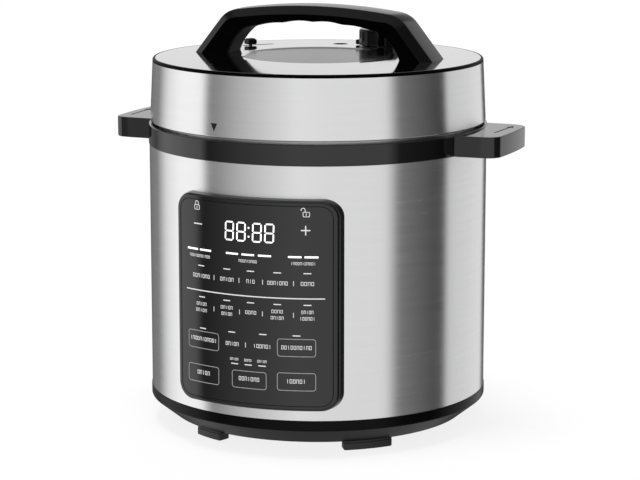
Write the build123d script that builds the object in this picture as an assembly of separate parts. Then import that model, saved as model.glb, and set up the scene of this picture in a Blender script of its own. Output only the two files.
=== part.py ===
from build123d import *
from math import cos, radians, sin, sqrt
import os

# An electric pressure cooker, with its lid locked. Millimetres and degrees.
# +Z is up, the ground is z = 0 and the cooker's own axis is the Z axis. The control panel faces -Y.

# Outside of the cooker, from the ground up
body_radius = 136.5
foot_height = 8.0
base_height = 21.5
shell_height = 198.3
collar_height = 16.5
lid_gap = 1.9
lid_height = 50.6
handle_rise = 41.7

# Walls
sheet = 0.8  # the outer steel sheets
plastic = 2.5  # the moulded covers
pot_wall = 1.0
pot_floor = 2.0
lid_sheet = 1.5  # the pressed inner lid
fit_gap = 0.2  # between pieces that are assembled into each other
slide_gap = 0.3  # between bodies that move past each other

# Feet: arc blocks, in two pairs that face each other
foot_inset = 2.0  # from the edge of the base pan's floor
foot_depth = 11.0
foot_spans = (14.0, 20.0)  # the feet stand in opposite pairs, a narrow one and a wide one
foot_half_angle = 34.05
foot_turn = 8.15
base_taper = 17.0  # the base pan's cone draws in by this much

# Side handles
side_length = 30.0  # from the collar to the handle's tip
side_root_half = 41.0
side_corner_half = 32.0
side_arm = 29.0  # from the collar out to the bend

# Inner pot, heater and sensor
pot_radius = 111.0
base_space = 50.5  # from the shell's lower edge up to the pot
pot_corner = 12.0
pot_rim = 8.0
liner_gap = 4.2  # between the pot and the steel liner
heater_inset = 16.0  # from the pot's side to the heating plate's edge
heater_thickness = 8.0
heater_lift = 9.2  # the heater plate's underside above the liner's floor
element_inset = 33.0  # from the heating plate's edge
element_wire = 3.5
sensor_radius = 18.4
sensor_travel = 3.0
spring_radius = 8.0
spring_wire = 0.6
spring_turns = 6

# Bayonet between the lid and the cooker
lug_count = 12
lug_span = 13.0
lug_reach = 6.7
lug_thickness = 2.5
bayonet_flange = 5.0
lug_drop = 2.7  # the lid's lugs pass this far under the cooker's

# Lid
lid_flare = 2.4  # the side band leans in by this much
lid_rim_height = 2.6
lid_dome = 1.0
lid_disc_radius = 59.5
lid_disc_depth = 1.0
seal_width = 13.0
seal_height = 7.7

# Lid handle
handle_width = 40.0
handle_foot = 103.5
handle_shoulder = 75.0
handle_shoulder_drop = 6.0
handle_grip_depth = 12.4
handle_cover_depth = 7.0
handle_leg_foot = 75.0
handle_leg_top = 60.0

# Fittings on the lid: radius and angle round the cooker's axis
valve_inset = 13.5  # from the sealing ring's inner edge
valve_angle = 78.4
float_inset = 14.6
float_angle = 100.2
valve_cap_radius = 16.5
valve_cap_height = 13.6
valve_stem_radius = 3.5
float_hole_radius = 6.3
float_pin_radius = 3.0
float_travel = 5.0
slider_inset = 19.0  # from the lid posts
slot_start = 135.0
slot_end = 152.7
slot_width = 3.5
slider_angle = 148.0

# Control panel
panel_depth = 7.5  # how far the panel stands out of the shell
panel_half_width = 68.0
panel_lift = 8.5  # from the shell's lower edge
panel_drop = 24.8  # from the shell's upper edge
panel_corner = 14.0
panel_border = 4.2
panel_bevel = 1.1
face_thickness = 1.2
board_border = (18.0, 14.0)  # from the panel's side and from its upper and lower edges
board_thickness = 1.6
display_size = (56.0, 22.0)
display_drop = 26.0  # from the panel's upper edge

# Rear: the drip cup and the power inlet
cup_width = 60.0
cup_height = 34.0
cup_drop = 5.8  # from the collar's lower edge
cup_stand = 7.5  # how far the drip cup stands out of the shell
cup_depth = 25.0
cup_wall = 2.0
inlet_width = 34.0
inlet_height = 27.0
inlet_low = 40.0
inlet_stand = 4.5
inlet_depth = 24.0
socket_width = 25.0
socket_height = 17.0
socket_depth = 16.0

# Levels that follow from the sizes above
shell_low = foot_height + base_height
collar_low = shell_low + shell_height
collar_high = collar_low + collar_height
lid_low = collar_high + lid_gap
lid_high = lid_low + lid_height
band_high = lid_high - lid_rim_height
ring_radius = body_radius + 0.5  # the base and the collar stand half a millimetre proud
lid_radius_low = body_radius - 0.8
lid_radius_high = lid_radius_low - lid_flare
plate_radius = lid_radius_high - 2.1
base_floor_radius = ring_radius - base_taper
foot_outer_radius = base_floor_radius - foot_inset
panel_reach = body_radius + panel_depth
panel_low = shell_low + panel_lift
panel_high = collar_low - panel_drop
display_height = panel_high - display_drop
cup_high = collar_low - cup_drop
cup_low = cup_high - cup_height
cup_reach = body_radius + cup_stand
inlet_reach = body_radius + inlet_stand
side_reach = ring_radius + side_length
rear_far = body_radius + 23.5  # past everything at the rear, for cuts

bayonet_high = collar_high - 3.8
bayonet_low = bayonet_high - lug_thickness
pot_low = shell_low + base_space
liner_radius = pot_radius + liner_gap
liner_outer = liner_radius + sheet
flange_radius = liner_outer + bayonet_flange
lug_radius = flange_radius + lug_reach
liner_low = pot_low - heater_thickness - heater_lift - sheet
heater_low = pot_low - heater_thickness
pot_rim_high = bayonet_high + 1.2
seal_low = pot_rim_high + slide_gap
seal_high = seal_low + seal_height
seal_outer = pot_radius + pot_rim - 1.0
seal_inner = seal_outer - seal_width
skirt_inner = lug_radius + 1.5
skirt_outer = skirt_inner + lid_sheet
heater_radius = pot_radius - heater_inset
element_radius = heater_radius - element_inset
post_radius = liner_outer - 16.0
lid_post_radius = skirt_inner - 13.2
slider_radius = lid_post_radius - slider_inset
valve_place = (seal_inner - valve_inset, valve_angle)
float_place = (seal_inner - float_inset, float_angle)
groove_floor = collar_low + 2.7
lid_lug_high = bayonet_low - lug_drop
lid_seat = seal_high + slide_gap
lid_centre = lid_seat + 12.0
bracket_low = liner_low - 4.5
shield_low = bracket_low - 5.0
pan_floor = foot_height + plastic
board_low = pan_floor + 15.0


def turned(*points):
    """A solid turned about the Z axis from (radius, height) points."""
    outline = make_face(Polyline(*points, close=True))
    return revolve(Plane.XZ * outline, Axis.Z, 360)


def ring(inner, outer, low, high):
    return turned((inner, low), (outer, low), (outer, high), (inner, high))


def arc_block(inner, outer, low, high, middle, span):
    """A piece of a ring, centred on an angle measured from +X."""
    outline = Polyline((inner, low), (outer, low), (outer, high), (inner, high), close=True)
    swept = revolve(Plane.XZ * make_face(outline), Axis.Z, span)
    return Rot(0, 0, middle - span / 2) * swept


def disc(radius, low, high):
    return Pos(0, 0, (low + high) / 2) * Cylinder(radius, high - low)


def rod(place, radius, low, high):
    return Pos(place[0], place[1], (low + high) / 2) * Cylinder(radius, high - low)


def block(x, y, z):
    """A box between the two values given for each axis."""
    centre = [(low + high) / 2 for low, high in (x, y, z)]
    size = [high - low for low, high in (x, y, z)]
    return Pos(*centre) * Box(*size)


def polar(radius, angle):
    return radius * cos(radians(angle)), radius * sin(radians(angle))


def around(count, start=0.0):
    return [start + 360.0 * n / count for n in range(count)]


def group(solids):
    return Compound(children=list(solids))


def save(shape, node):
    export_step(shape, f"parts/{node}.step")


# Base

post_places = [polar(post_radius, angle) for angle in around(3, 90.0)]
screw_head = 4.0
screw_shank = 2.0


def base_pan():
    cone_high = foot_height + 13.5
    spigot = body_radius - sheet - fit_gap
    floor_inner = base_floor_radius - 1.0
    pan = turned(
        (0, foot_height), (base_floor_radius, foot_height), (ring_radius, cone_high),
        (ring_radius, shell_low), (spigot, shell_low), (spigot, shell_low + 6),
        (spigot - plastic, shell_low + 6), (spigot - plastic, cone_high + 1), (floor_inner, pan_floor),
        (0, pan_floor),
    )
    for angle in around(24, 7.5):
        vent = Rot(0, 0, angle) * block((62, 86), (-1.6, 1.6), (foot_height - 1, pan_floor + 1))
        pan -= vent
    for place in post_places:
        pan -= rod(place, screw_head + fit_gap, foot_height - 1, foot_height + 1.2)
        pan -= rod(place, screw_shank + fit_gap, foot_height, pan_floor + 1)
    return pan


def feet():
    angles = [90 - foot_half_angle, 90 + foot_half_angle]
    angles += [angle + 180 for angle in angles]
    inner = foot_outer_radius - foot_depth
    blocks = []
    for angle, span in zip(angles, foot_spans * 2):
        foot = arc_block(inner, foot_outer_radius, 0, foot_height, angle + foot_turn, span)
        lower = foot.edges().group_by(Axis.Z)[0]
        blocks.append(chamfer(lower, 0.8))
    return group(blocks)


def base_screws():
    screws = []
    for place in post_places:
        head = rod(place, screw_head, foot_height + 0.2, foot_height + 1.2)
        shank = rod(place, screw_shank, foot_height + 1.2, pan_floor + 14)
        slot = Pos(place[0], place[1], foot_height + 0.4) * Box(5, 1, 0.8)
        screws.append(head + shank - slot)
    return group(screws)


def support_posts():
    posts = []
    for place in post_places:
        post = rod(place, 5.0, pan_floor, liner_low)
        posts.append(post - rod(place, screw_shank + 0.1, pan_floor - 1, pan_floor + 15))
    return group(posts)


# Outer shell, collar and side handles

def outer_shell():
    shell = ring(body_radius - sheet, body_radius, shell_low, collar_low)
    shell -= panel_prism(10.0)
    gap = fit_gap
    shell -= rear_block(cup_width + 2 * gap, cup_low - gap, cup_high + gap)
    shell -= rear_block(inlet_width + 2 * gap, inlet_low - gap, inlet_low + inlet_height + gap)
    return shell


def rear_block(width, low, high, near=body_radius - 36.5, far=rear_far):
    return block((-width / 2, width / 2), (near, far), (low, high))


def collar_ring():
    wall = plastic
    spigot = body_radius - sheet - fit_gap
    collar = turned(
        (liner_outer + fit_gap, groove_floor - 2), (ring_radius - wall, groove_floor - 2),
        (spigot - 2, collar_low - 5), (spigot, collar_low - 5), (spigot, collar_low),
        (ring_radius, collar_low), (ring_radius, collar_high), (ring_radius - wall, collar_high),
        (ring_radius - wall, groove_floor), (liner_outer + fit_gap, groove_floor),
    )
    top = collar.edges().filter_by(GeomType.CIRCLE).group_by(Axis.Z)[-1]
    collar = chamfer(top, 0.5)
    collar -= rod((0, drain_y), drain_radius + fit_gap, groove_floor - 8, groove_floor + 8)
    for side, y in side_screw_places():
        hole = Rot(0, 90, 0) * Cylinder(side_screw_radius + fit_gap, 12)
        collar -= Pos(side * ring_radius, y, side_screw_z) * hole
    return collar


side_screw_radius = 1.6
side_screw_z = (collar_low + collar_high) / 2 + 1.5
side_screw_length = 15.0
side_screw_offset = 18.0


def side_screw_places():
    return [(side, y) for side in (1, -1) for y in (-side_screw_offset, side_screw_offset)]


def side_handle(side):
    root = sqrt(ring_radius**2 - side_root_half**2) - 8
    bend = ring_radius + side_arm - 5
    tip = side_reach - 1.6
    lower = Polyline(
        (root, side_root_half), (root, -side_root_half), (bend - 9, -side_root_half + 0.5),
        (bend, -side_root_half + 2.0), (tip, -side_corner_half),
    )
    end = ThreePointArc((tip, -side_corner_half), (side_reach, 0), (tip, side_corner_half))
    upper = Polyline(
        (tip, side_corner_half), (bend, side_root_half - 2.0), (bend - 9, side_root_half - 0.5),
        (root, side_root_half),
    )
    outline = make_face(lower + end + upper)
    handle = Pos(0, 0, collar_low) * extrude(outline, collar_height)
    pocket_low = collar_low - 1
    pocket = offset(outline, amount=-3.5, kind=Kind.INTERSECTION)
    handle -= Pos(0, 0, pocket_low) * extrude(pocket, collar_height - 5)
    root_half = side_root_half - 3.5
    around_root = block((0, side_reach), (-root_half, root_half), (collar_low - 1, collar_high + 1))
    inner_wall = disc(ring_radius + 4, collar_low, collar_high - 4) & around_root
    handle += inner_wall
    handle -= disc(ring_radius, collar_low - 1, collar_high + 1)
    rim = [edge for edge in handle.edges().group_by(Axis.Z)[-1] if edge.center().X > ring_radius + 1]
    handle = chamfer(rim, 0.6)
    for y in (-side_screw_offset, side_screw_offset):
        bore = Rot(0, 90, 0) * Cylinder(side_screw_radius + 0.1, 24)
        handle -= Pos(ring_radius, y, side_screw_z) * bore
    if side < 0:
        handle = Rot(0, 0, 180) * handle
    return handle


def side_handle_screws():
    """Screwed outwards from the collar's groove, each with its head against the curved wall."""
    head_radius, head_height = 3.0, 1.2
    start = sqrt((ring_radius - plastic) ** 2 - (side_screw_offset + head_radius) ** 2) - 0.1
    screws = []
    for side, y in side_screw_places():
        head = Rot(0, 90, 0) * Cylinder(head_radius, head_height)
        shank = Rot(0, 90, 0) * Cylinder(side_screw_radius, side_screw_length)
        shank = Pos(side_screw_length / 2, 0, 0) * shank
        screw = Pos(start - head_height / 2, y, side_screw_z) * (head + shank)
        screws.append(Rot(0, 0, 0 if side > 0 else 180) * screw)
    return group(screws)


# Liner, bayonet, pot and heater

def inner_housing():
    liner = turned(
        (30, liner_low), (liner_outer, liner_low), (liner_outer, bayonet_low),
        (liner_radius, bayonet_low), (liner_radius, liner_low + sheet), (30, liner_low + sheet),
    )
    for angle in terminal_angles:
        liner -= rod(polar(element_radius, angle), 4.0, liner_low - 2, liner_low + 3)
    return liner


def bayonet_ring():
    flange = ring(liner_radius - 1.0, flange_radius, bayonet_low, bayonet_high)
    for angle in around(lug_count):
        lug = arc_block(flange_radius - 1, lug_radius, bayonet_low, bayonet_high, angle, lug_span)
        flange += lug
    return flange


def inner_pot():
    rim_radius = pot_radius + pot_rim
    inside = pot_radius - pot_wall
    floor = pot_low + pot_floor
    corner = pot_corner
    slant = corner * (1 - cos(radians(45)))
    inner_corner = corner - pot_wall
    inner_slant = inner_corner * (1 - cos(radians(45)))
    outer_arc = ThreePointArc(
        (pot_radius - corner, pot_low), (pot_radius - slant, pot_low + slant), (pot_radius, pot_low + corner)
    )
    wall = Polyline(
        (pot_radius, pot_low + corner), (pot_radius, bayonet_high), (rim_radius, bayonet_high),
        (rim_radius, pot_rim_high), (inside, pot_rim_high), (inside, floor + inner_corner),
    )
    inner_arc = ThreePointArc(
        (inside, floor + inner_corner), (inside - inner_slant, floor + inner_slant),
        (inside - inner_corner, floor),
    )
    seam = Polyline((inside - inner_corner, floor), (pot_radius - corner, pot_low))
    outline = make_face(outer_arc + wall + inner_arc + seam)
    return revolve(Plane.XZ * outline, Axis.Z, 360)


def pot_base():
    return disc(pot_radius - pot_corner, pot_low, pot_low + pot_floor)


def heating_plate():
    plate = ring(sensor_radius + 0.6, heater_radius, heater_low, pot_low)
    plate = chamfer(plate.edges().group_by(Axis.Z)[-1], 0.6)
    for angle in around(3, 30.0):
        plate += rod(polar(heater_radius - 10, angle), 5.0, liner_low + sheet, heater_low)
    return plate


terminal_angles = (-105.0, -75.0)


def heating_element():
    middle = heater_low - element_wire
    circle = Pos(element_radius, middle) * Circle(element_wire)
    loop = revolve(Plane.XZ * circle, Axis.Z, 360 - 30.0)
    element = Rot(0, 0, terminal_angles[1]) * loop
    for angle in terminal_angles:
        element += rod(polar(element_radius, angle), 2.2, liner_low - 3, middle)
    return element


def sensor_bracket():
    foot = turned(
        (0, bracket_low), (36, bracket_low), (36, liner_low), (34.5, liner_low),
        (34.5, bracket_low + 1.5), (0, bracket_low + 1.5),
    )
    return foot + rod((0, 0), 4.0, bracket_low, sensor_ceiling - sensor_travel - 4.5)


sensor_top = pot_low - slide_gap
sensor_ceiling = sensor_top - 1.2


def sensor_cap():
    lip_high = heater_low - 0.4
    return turned(
        (0, sensor_top), (sensor_radius - 1, sensor_top), (sensor_radius, sensor_top - 1),
        (sensor_radius, lip_high), (sensor_radius + 2, lip_high), (sensor_radius + 2, lip_high - 1.5),
        (sensor_radius - 1.2, lip_high - 1.5), (sensor_radius - 1.2, sensor_ceiling), (0, sensor_ceiling),
    )


def thermistor():
    return rod((0, 0), 3.0, sensor_ceiling - 2.2, sensor_ceiling)


def sensor_spring():
    low = bracket_low + 1.5 + spring_wire
    high = sensor_ceiling - spring_wire
    path = Helix(pitch=(high - low) / spring_turns, height=high - low, radius=spring_radius)
    section = Plane(origin=path @ 0, z_dir=path % 0) * Circle(spring_wire)
    return Pos(0, 0, low) * sweep(section, path=path)


def heat_shield():
    shield = ring(30, liner_outer - 8, shield_low, shield_low + sheet)
    for place in post_places:
        shield -= rod(place, 5.0 + fit_gap, shield_low - 1, shield_low + 2)
    return shield


# Electrics in the base

def power_board():
    board = block((-48, 48), (-62, 22), (board_low, board_low + board_thickness))
    for x in (-42, 42):
        for y in (-56, 16):
            board += rod((x, y), 3.0, pan_floor, board_low)
    return board


def board_components():
    low = board_low + board_thickness
    relay = block((-40, -20), (-30, -12), (low, low + 17))
    transformer = block((-10, 18), (-52, -26), (low, low + 20))
    bridge = block((26, 42), (-8, 2), (low, low + 12))
    capacitors = [rod(place, 5.0, low, low + 18) for place in ((-32, 4), (-32, -46), (32, -30))]
    return group([relay, transformer, bridge, *capacitors])


def thermal_fuse():
    middle = liner_low - 3.0
    body = Pos(-60, 40, middle) * (Rot(0, 90, 0) * Cylinder(2.5, 14))
    strap = block((-64, -56), (35, 45), (liner_low - 0.8, liner_low))
    return body + strap


def pressure_switch():
    body = rod((48, 52), 9.0, shield_low + 3, liner_low)
    tabs = [block((48 + x - 3, 48 + x + 3), (42, 45), (shield_low + 4, shield_low + 5)) for x in (-4.5, 4.5)]
    for tab in tabs:
        body += tab
    return body


# Rear of the cooker

drain_radius = 3.0
drain_y = cup_reach - 20.0


def power_inlet():
    high = inlet_low + inlet_height
    near = inlet_reach - inlet_depth
    middle = (inlet_low + high) / 2
    body = rear_block(inlet_width, inlet_low, high, near, inlet_reach)
    body &= disc(inlet_reach, inlet_low - 1, high + 1)
    socket_near = inlet_reach - socket_depth
    body -= rear_block(socket_width, middle - socket_height / 2, middle + socket_height / 2, socket_near)
    for x, z in pin_places():
        body -= block(
            (x - 1.1, x + 1.1), (near - 1, inlet_reach - 5), (middle + z - 2.1, middle + z + 2.1)
        )
    return body


def pin_places():
    """Earth pin up, live and neutral below it to the sides."""
    return [(-7.0, -2.0), (0.0, 2.0), (7.0, -2.0)]


def inlet_pins():
    middle = inlet_low + inlet_height / 2
    near = inlet_reach - inlet_depth - 6
    far = inlet_reach - 6.0
    return group(
        block((x - 1, x + 1), (near, far), (middle + z - 2, middle + z + 2)) for x, z in pin_places()
    )


def cup_holder():
    near = cup_reach - cup_depth - 1.0
    pocket = rear_block(cup_width, cup_low, cup_high, near)
    pocket &= disc(ring_radius + 0.2, cup_low - 1, cup_high + 1)
    inner = cup_width / 2 - cup_wall
    levels = (cup_low + cup_wall, cup_high - cup_wall)
    hollow = block((-inner, inner), (near + cup_wall - 1, rear_far), levels)
    spout = rod((0, drain_y), drain_radius, cup_high - 2, groove_floor - 0.3)
    spout -= rod((0, drain_y), drain_radius - 1, cup_low + 20, groove_floor + 1)
    pocket = pocket - hollow
    pocket -= rod((0, drain_y), drain_radius - 1, cup_high - 5, cup_high + 1)
    return pocket + spout


def condensation_cup():
    half = cup_width / 2 - cup_wall - slide_gap
    low = cup_low + cup_wall + slide_gap
    high = cup_high - cup_wall - slide_gap
    near = cup_reach - cup_depth + cup_wall
    outside = block((-half, half), (near, rear_far), (low, high)) & disc(cup_reach, low - 1, high + 1)
    inside = block((-half + 1.5, half - 1.5), (near + 1.5, rear_far), (low + 1.5, high + 1))
    inside &= disc(cup_reach - 2, low, high + 2)
    cup = outside - inside
    lip = block((-half, half), (ring_radius + 0.8, rear_far), (high - 2, high))
    lip &= disc(cup_reach, low, high + 1)
    return cup + lip


# Control panel

panel_middle = (panel_low + panel_high) / 2
panel_inside = panel_reach - 2.6
board_near = liner_outer + 5.6  # how far the control board stands off the Z axis
board_far = board_near + board_thickness


def panel_prism(inset):
    """A rounded rectangle pushed out towards -Y, narrower by the inset on every side."""
    plane = Plane(origin=(0, -100, panel_middle), x_dir=(1, 0, 0), z_dir=(0, -1, 0))
    width = 2 * (panel_half_width - inset)
    height = panel_high - panel_low - 2 * inset
    corner = max(panel_corner - inset, 3.0)
    return extrude(plane * RectangleRounded(width, height, corner), panel_reach)


def panel_solid(inset, inner, outer):
    return panel_prism(inset) & ring(inner, outer, panel_low - 1, panel_high + 1)


def panel_bosses():
    boss_x = panel_half_width - 26.0
    boss_z = (panel_high - panel_low) / 2 - 22.5
    return [(x, panel_middle + z) for x in (-boss_x, boss_x) for z in (-boss_z, boss_z)]


def control_panel_housing():
    body = panel_solid(0.0, body_radius + 0.05, panel_reach)
    outer_face = body.faces().filter_by(GeomType.CYLINDER).sort_by(Axis.Y)[0]
    body = chamfer(outer_face.edges(), panel_bevel)
    body -= panel_solid(panel_border + 3.0, body_radius - 5, panel_inside)
    body -= panel_solid(panel_border, panel_reach - face_thickness - 0.1, panel_reach + 5)
    bosses = [block((x - 3, x + 3), (-panel_reach, -board_far), (z - 3, z + 3)) for x, z in panel_bosses()]
    for boss in bosses:
        body += boss & disc(panel_inside + 0.5, panel_low, panel_high)
    return body


def control_panel_face():
    return panel_solid(panel_border + 0.15, panel_reach - face_thickness, panel_reach - 0.1)


def control_board():
    half_x, half_z = panel_half_width - board_border[0], (panel_high - panel_low) / 2 - board_border[1]
    levels = (panel_middle - half_z, panel_middle + half_z)
    return block((-half_x, half_x), (-board_far, -board_near), levels)


def display_module():
    half_x, half_z = display_size[0] / 2, display_size[1] / 2
    low, high = display_height - half_z, display_height + half_z
    return block((-half_x, half_x), (-panel_reach + 9, -board_far), (low, high))


# Lid

def band_radius(z):
    return lid_radius_low - lid_flare * (z - lid_low) / (band_high - lid_low)


def lid_side_band():
    return turned(
        (lid_radius_low - 3.5, lid_low), (lid_radius_low, lid_low), (lid_radius_high, band_high),
        (lid_radius_high - sheet, band_high), (lid_radius_low - sheet, lid_low + sheet),
        (lid_radius_low - 3.5, lid_low + sheet),
    )


def lid_rim_trim():
    inner = plate_radius - 8
    seat = lid_high - sheet
    trim = turned(
        (inner, band_high), (lid_radius_high, band_high), (lid_radius_high, band_high + 1.4),
        (lid_radius_high - 0.8, lid_high - 0.4),
        (plate_radius + 0.9, lid_high), (plate_radius + 0.1, lid_high),
        (plate_radius + 0.1, seat), (inner, seat),
    )
    return trim


def plate_top():
    """The lid's top surface, from its rim in to its middle, as (radius, height)."""
    step = lid_disc_radius
    return [
        (plate_radius, lid_high), (step + 8.5, lid_high + lid_dome), (step + 1.0, lid_high + lid_dome - 0.1),
        (step, lid_high + lid_dome - 0.1 - lid_disc_depth), (0, lid_high + lid_dome - 0.1 - lid_disc_depth),
    ]


def plate_level(radius):
    """The height of the lid's top surface outside its middle disc."""
    crest = lid_disc_radius + 8.5
    share = (radius - crest) / (plate_radius - crest)
    return lid_high + lid_dome * (1 - share)


def lid_top_plate():
    top = plate_top()
    under = [(radius, z - sheet) for radius, z in reversed(top)]
    plate = turned(*top, *under)
    plate -= rod(polar(*valve_place), 12.3, lid_high - 5, lid_high + 5)
    plate -= rod(polar(*float_place), float_hole_radius, lid_high - 5, lid_high + 5)
    plate -= slider_slot(slot_width, lid_high - 5, lid_high + 5)
    for place in handle_screw_places():
        plate -= rod(place, screw_shank + fit_gap, lid_high - 5, lid_high + 5)
    return plate


def slider_slot(width, low, high):
    inner, outer = slider_radius - width / 2, slider_radius + width / 2
    return arc_block(inner, outer, low, high, (slot_start + slot_end) / 2, slot_end - slot_start)


def lid_frame():
    outer = lid_radius_high - sheet - 0.7
    low = lid_seat + lid_sheet + 0.5
    foot, shelf = lid_post_radius + 3.8, lid_post_radius - 2.2
    return turned(
        (foot, low), (outer, low), (outer, band_high), (shelf, band_high), (shelf, band_high - plastic),
        (outer - plastic, band_high - plastic), (outer - plastic, low + plastic), (foot, low + plastic),
    )


def lid_posts():
    low = lid_seat + lid_sheet
    high = band_high - plastic
    return group(rod(polar(lid_post_radius, angle), 3.5, low, high) for angle in around(6, 30.0))


def inner_lid():
    crown, seat = seal_inner - 9.0, seal_inner - 4.0
    shell = turned(
        (0, lid_centre), (crown, lid_seat + 6), (seat, lid_seat), (skirt_inner, lid_seat),
        (skirt_inner, lid_lug_high - lug_thickness), (skirt_outer, lid_lug_high - lug_thickness),
        (skirt_outer, lid_seat + lid_sheet), (seat + 0.6, lid_seat + lid_sheet),
        (crown + 0.6, lid_seat + 6 + lid_sheet),
        (0, lid_centre + lid_sheet),
    )
    reach = lug_reach - 0.5
    for angle in around(lug_count, 180.0 / lug_count):
        lug = arc_block(
            lug_radius - reach, skirt_inner + 0.5,
            lid_lug_high - lug_thickness, lid_lug_high, angle, lug_span
        )
        shell += lug
    shell -= rod(polar(*valve_place), valve_stem_radius + 0.1, lid_seat, lid_centre + 5)
    shell -= rod(polar(*float_place), float_pin_radius + slide_gap, lid_seat, lid_centre + 5)
    return shell


def sealing_ring():
    lip = 2.5
    return turned(
        (seal_inner, seal_low + 2), (seal_inner + 4, seal_low),
        (seal_outer, seal_low), (seal_outer, seal_high),
        (seal_inner + 3, seal_high), (seal_inner + 3, seal_high - lip),
        (seal_outer - 3, seal_high - lip - 1),
        (seal_outer - 3, seal_low + lip), (seal_inner + 4, seal_low + lip + 1),
    )


def seal_rack():
    wire = Pos(seal_inner - 1.5, seal_low + 4.5) * Circle(1.2)
    return revolve(Plane.XZ * wire, Axis.Z, 360)


# Lid handle

handle_top = lid_high + handle_rise
handle_under = handle_top - handle_grip_depth


def handle_outline():
    """The handle's outer line from one foot over the arch to the other."""
    foot_low = lid_high - 2
    shoulder = handle_top - handle_shoulder_drop
    slope = (handle_foot - handle_shoulder) / (shoulder - lid_high)
    foot = handle_foot + slope * (lid_high - foot_low)
    return foot, foot_low, shoulder


def handle_body():
    foot, foot_low, shoulder = handle_outline()
    inner_foot = handle_leg_foot
    inner_top = handle_under - 8.0
    outer = Polyline((foot, foot_low), (handle_shoulder, shoulder))
    arch = ThreePointArc((handle_shoulder, shoulder), (0, handle_top), (-handle_shoulder, shoulder))
    down = Polyline((-handle_shoulder, shoulder), (-foot, foot_low), (-inner_foot, foot_low))
    left = Polyline((-inner_foot, foot_low), (-handle_leg_top, inner_top))
    under = ThreePointArc((-handle_leg_top, inner_top), (0, handle_under), (handle_leg_top, inner_top))
    right = Polyline((handle_leg_top, inner_top), (inner_foot, foot_low), (foot, foot_low))
    face = make_face(outer + arch + down + left + under + right)
    return Pos(0, handle_width / 2, 0) * extrude(Plane.XZ * face, handle_width)


def handle_core():
    """The handle without its cover: the outer line moved in by the cover's depth."""
    foot, foot_low, shoulder = handle_outline()
    depth = handle_cover_depth
    shift = depth * 1.28
    face = make_face(
        Polyline((foot - shift, foot_low), (handle_shoulder - depth * 0.55, shoulder - depth))
        + ThreePointArc(
            (handle_shoulder - depth * 0.55, shoulder - depth), (0, handle_top - depth),
            (-handle_shoulder + depth * 0.55, shoulder - depth),
        )
        + Polyline((-handle_shoulder + depth * 0.55, shoulder - depth), (-foot + shift, foot_low), (0, 0),
                   (foot - shift, foot_low))
    )
    return Pos(0, handle_width, 0) * extrude(Plane.XZ * face, 2 * handle_width)


def plate_volume():
    """Everything under the lid's top surface, to cut the handle's feet to it."""
    return turned((0, 200), (plate_radius, 200), *plate_top())


def handle_screw_places():
    x = (handle_leg_foot + handle_foot) / 2 - 7.0
    return [(side * x, y) for side in (-1, 1) for y in (-10.0, 10.0)]


def handle_cover():
    cover = handle_body() - handle_core() - plate_volume()
    return cover


def handle_grip():
    grip = (handle_body() & handle_core()) - plate_volume()
    for place in handle_screw_places():
        grip -= rod(place, screw_shank + 0.1, lid_high - 5, lid_high + 10)
    return grip


def handle_screws():
    screws = []
    head_high = lid_high - sheet
    for place in handle_screw_places():
        head = rod(place, screw_head, head_high - 2.5, head_high - 0.05)
        screws.append(head + rod(place, screw_shank, head_high - 1, lid_high + 9))
    return group(screws)


# Fittings on the lid

def valve_stem():
    place = polar(*valve_place)
    stem = rod(place, valve_stem_radius, lid_seat - 1, lid_high + 6.0)
    flange = rod(place, 7.0, lid_centre + lid_sheet, lid_centre + lid_sheet + 3)
    return stem + flange - rod(place, 1.2, lid_seat - 2, lid_high + 7)


def valve_seat():
    place = polar(*valve_place)
    seat = rod(place, 12.0, lid_high - 6, lid_high + 0.6) + rod(place, 14.5, lid_high - 6, lid_high - 3)
    return seat - rod(place, valve_stem_radius + 0.1, lid_high - 7, lid_high + 2)


def anti_block_shield():
    place = polar(*valve_place)
    low, high = lid_seat - 5.0, lid_seat + 1.0
    shield = rod(place, 8.0, low, high) - rod(place, 6.8, low + 1.2, high - 1.2)
    shield -= rod(place, valve_stem_radius + 0.1, low + 2, high + 1)
    for angle in around(8):
        slit = Rot(0, 0, angle) * block((6, 9), (-0.9, 0.9), (low + 1.5, high - 1.5))
        shield -= Pos(place[0], place[1], 0) * slit
    return shield


def steam_valve_cap():
    place = polar(*valve_place)
    low = lid_high + 1.2
    high = low + valve_cap_height
    cap = rod(place, valve_cap_radius, low, high)
    cap = fillet(cap.edges().group_by(Axis.Z)[-1], 2.0)
    cap -= rod(place, valve_cap_radius - 2.5, low - 1, low + 3)
    cap -= rod(place, valve_stem_radius + slide_gap, low, lid_high + 8)
    tab = block((-valve_cap_radius - 3, -valve_cap_radius + 1), (-4, 4), (low, low + 4))
    return cap + Pos(place[0], place[1], 0) * tab


def float_guide():
    place = polar(*float_place)
    outer = float_hole_radius - fit_gap
    guide = rod(place, outer, lid_centre + lid_sheet, lid_high + lid_dome - 0.4)
    guide += rod(place, outer + 3, lid_centre + lid_sheet, lid_centre + lid_sheet + 2)
    return guide - rod(place, float_pin_radius + slide_gap, lid_centre, lid_high + 5)


float_seal_low = lid_seat + 2.5 - float_travel


def float_valve_pin():
    place = polar(*float_place)
    return rod(place, float_pin_radius, float_seal_low + 1.5, lid_high - 2.5)


def float_seal():
    place = polar(*float_place)
    low = float_seal_low
    seal = rod(place, 6.5, low, low + 1.8) + rod(place, 4.6, low, low + 3.4)
    return seal - rod(place, float_pin_radius, low + 1.5, lid_high)


def release_slider():
    low = lid_high - 4.5
    carriage = arc_block(slider_radius - 6, slider_radius + 6, low, low + 2, slider_angle, 6.0)
    neck = arc_block(slider_radius - 1.3, slider_radius + 1.3, low + 1, lid_high + 3, slider_angle, 1.4)
    knob = arc_block(slider_radius - 4, slider_radius + 4, lid_high + 1.4, lid_high + 6.4, slider_angle, 5.0)
    knob = fillet(knob.edges().group_by(Axis.Z)[-1], 1.0)
    return carriage + neck + knob


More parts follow.
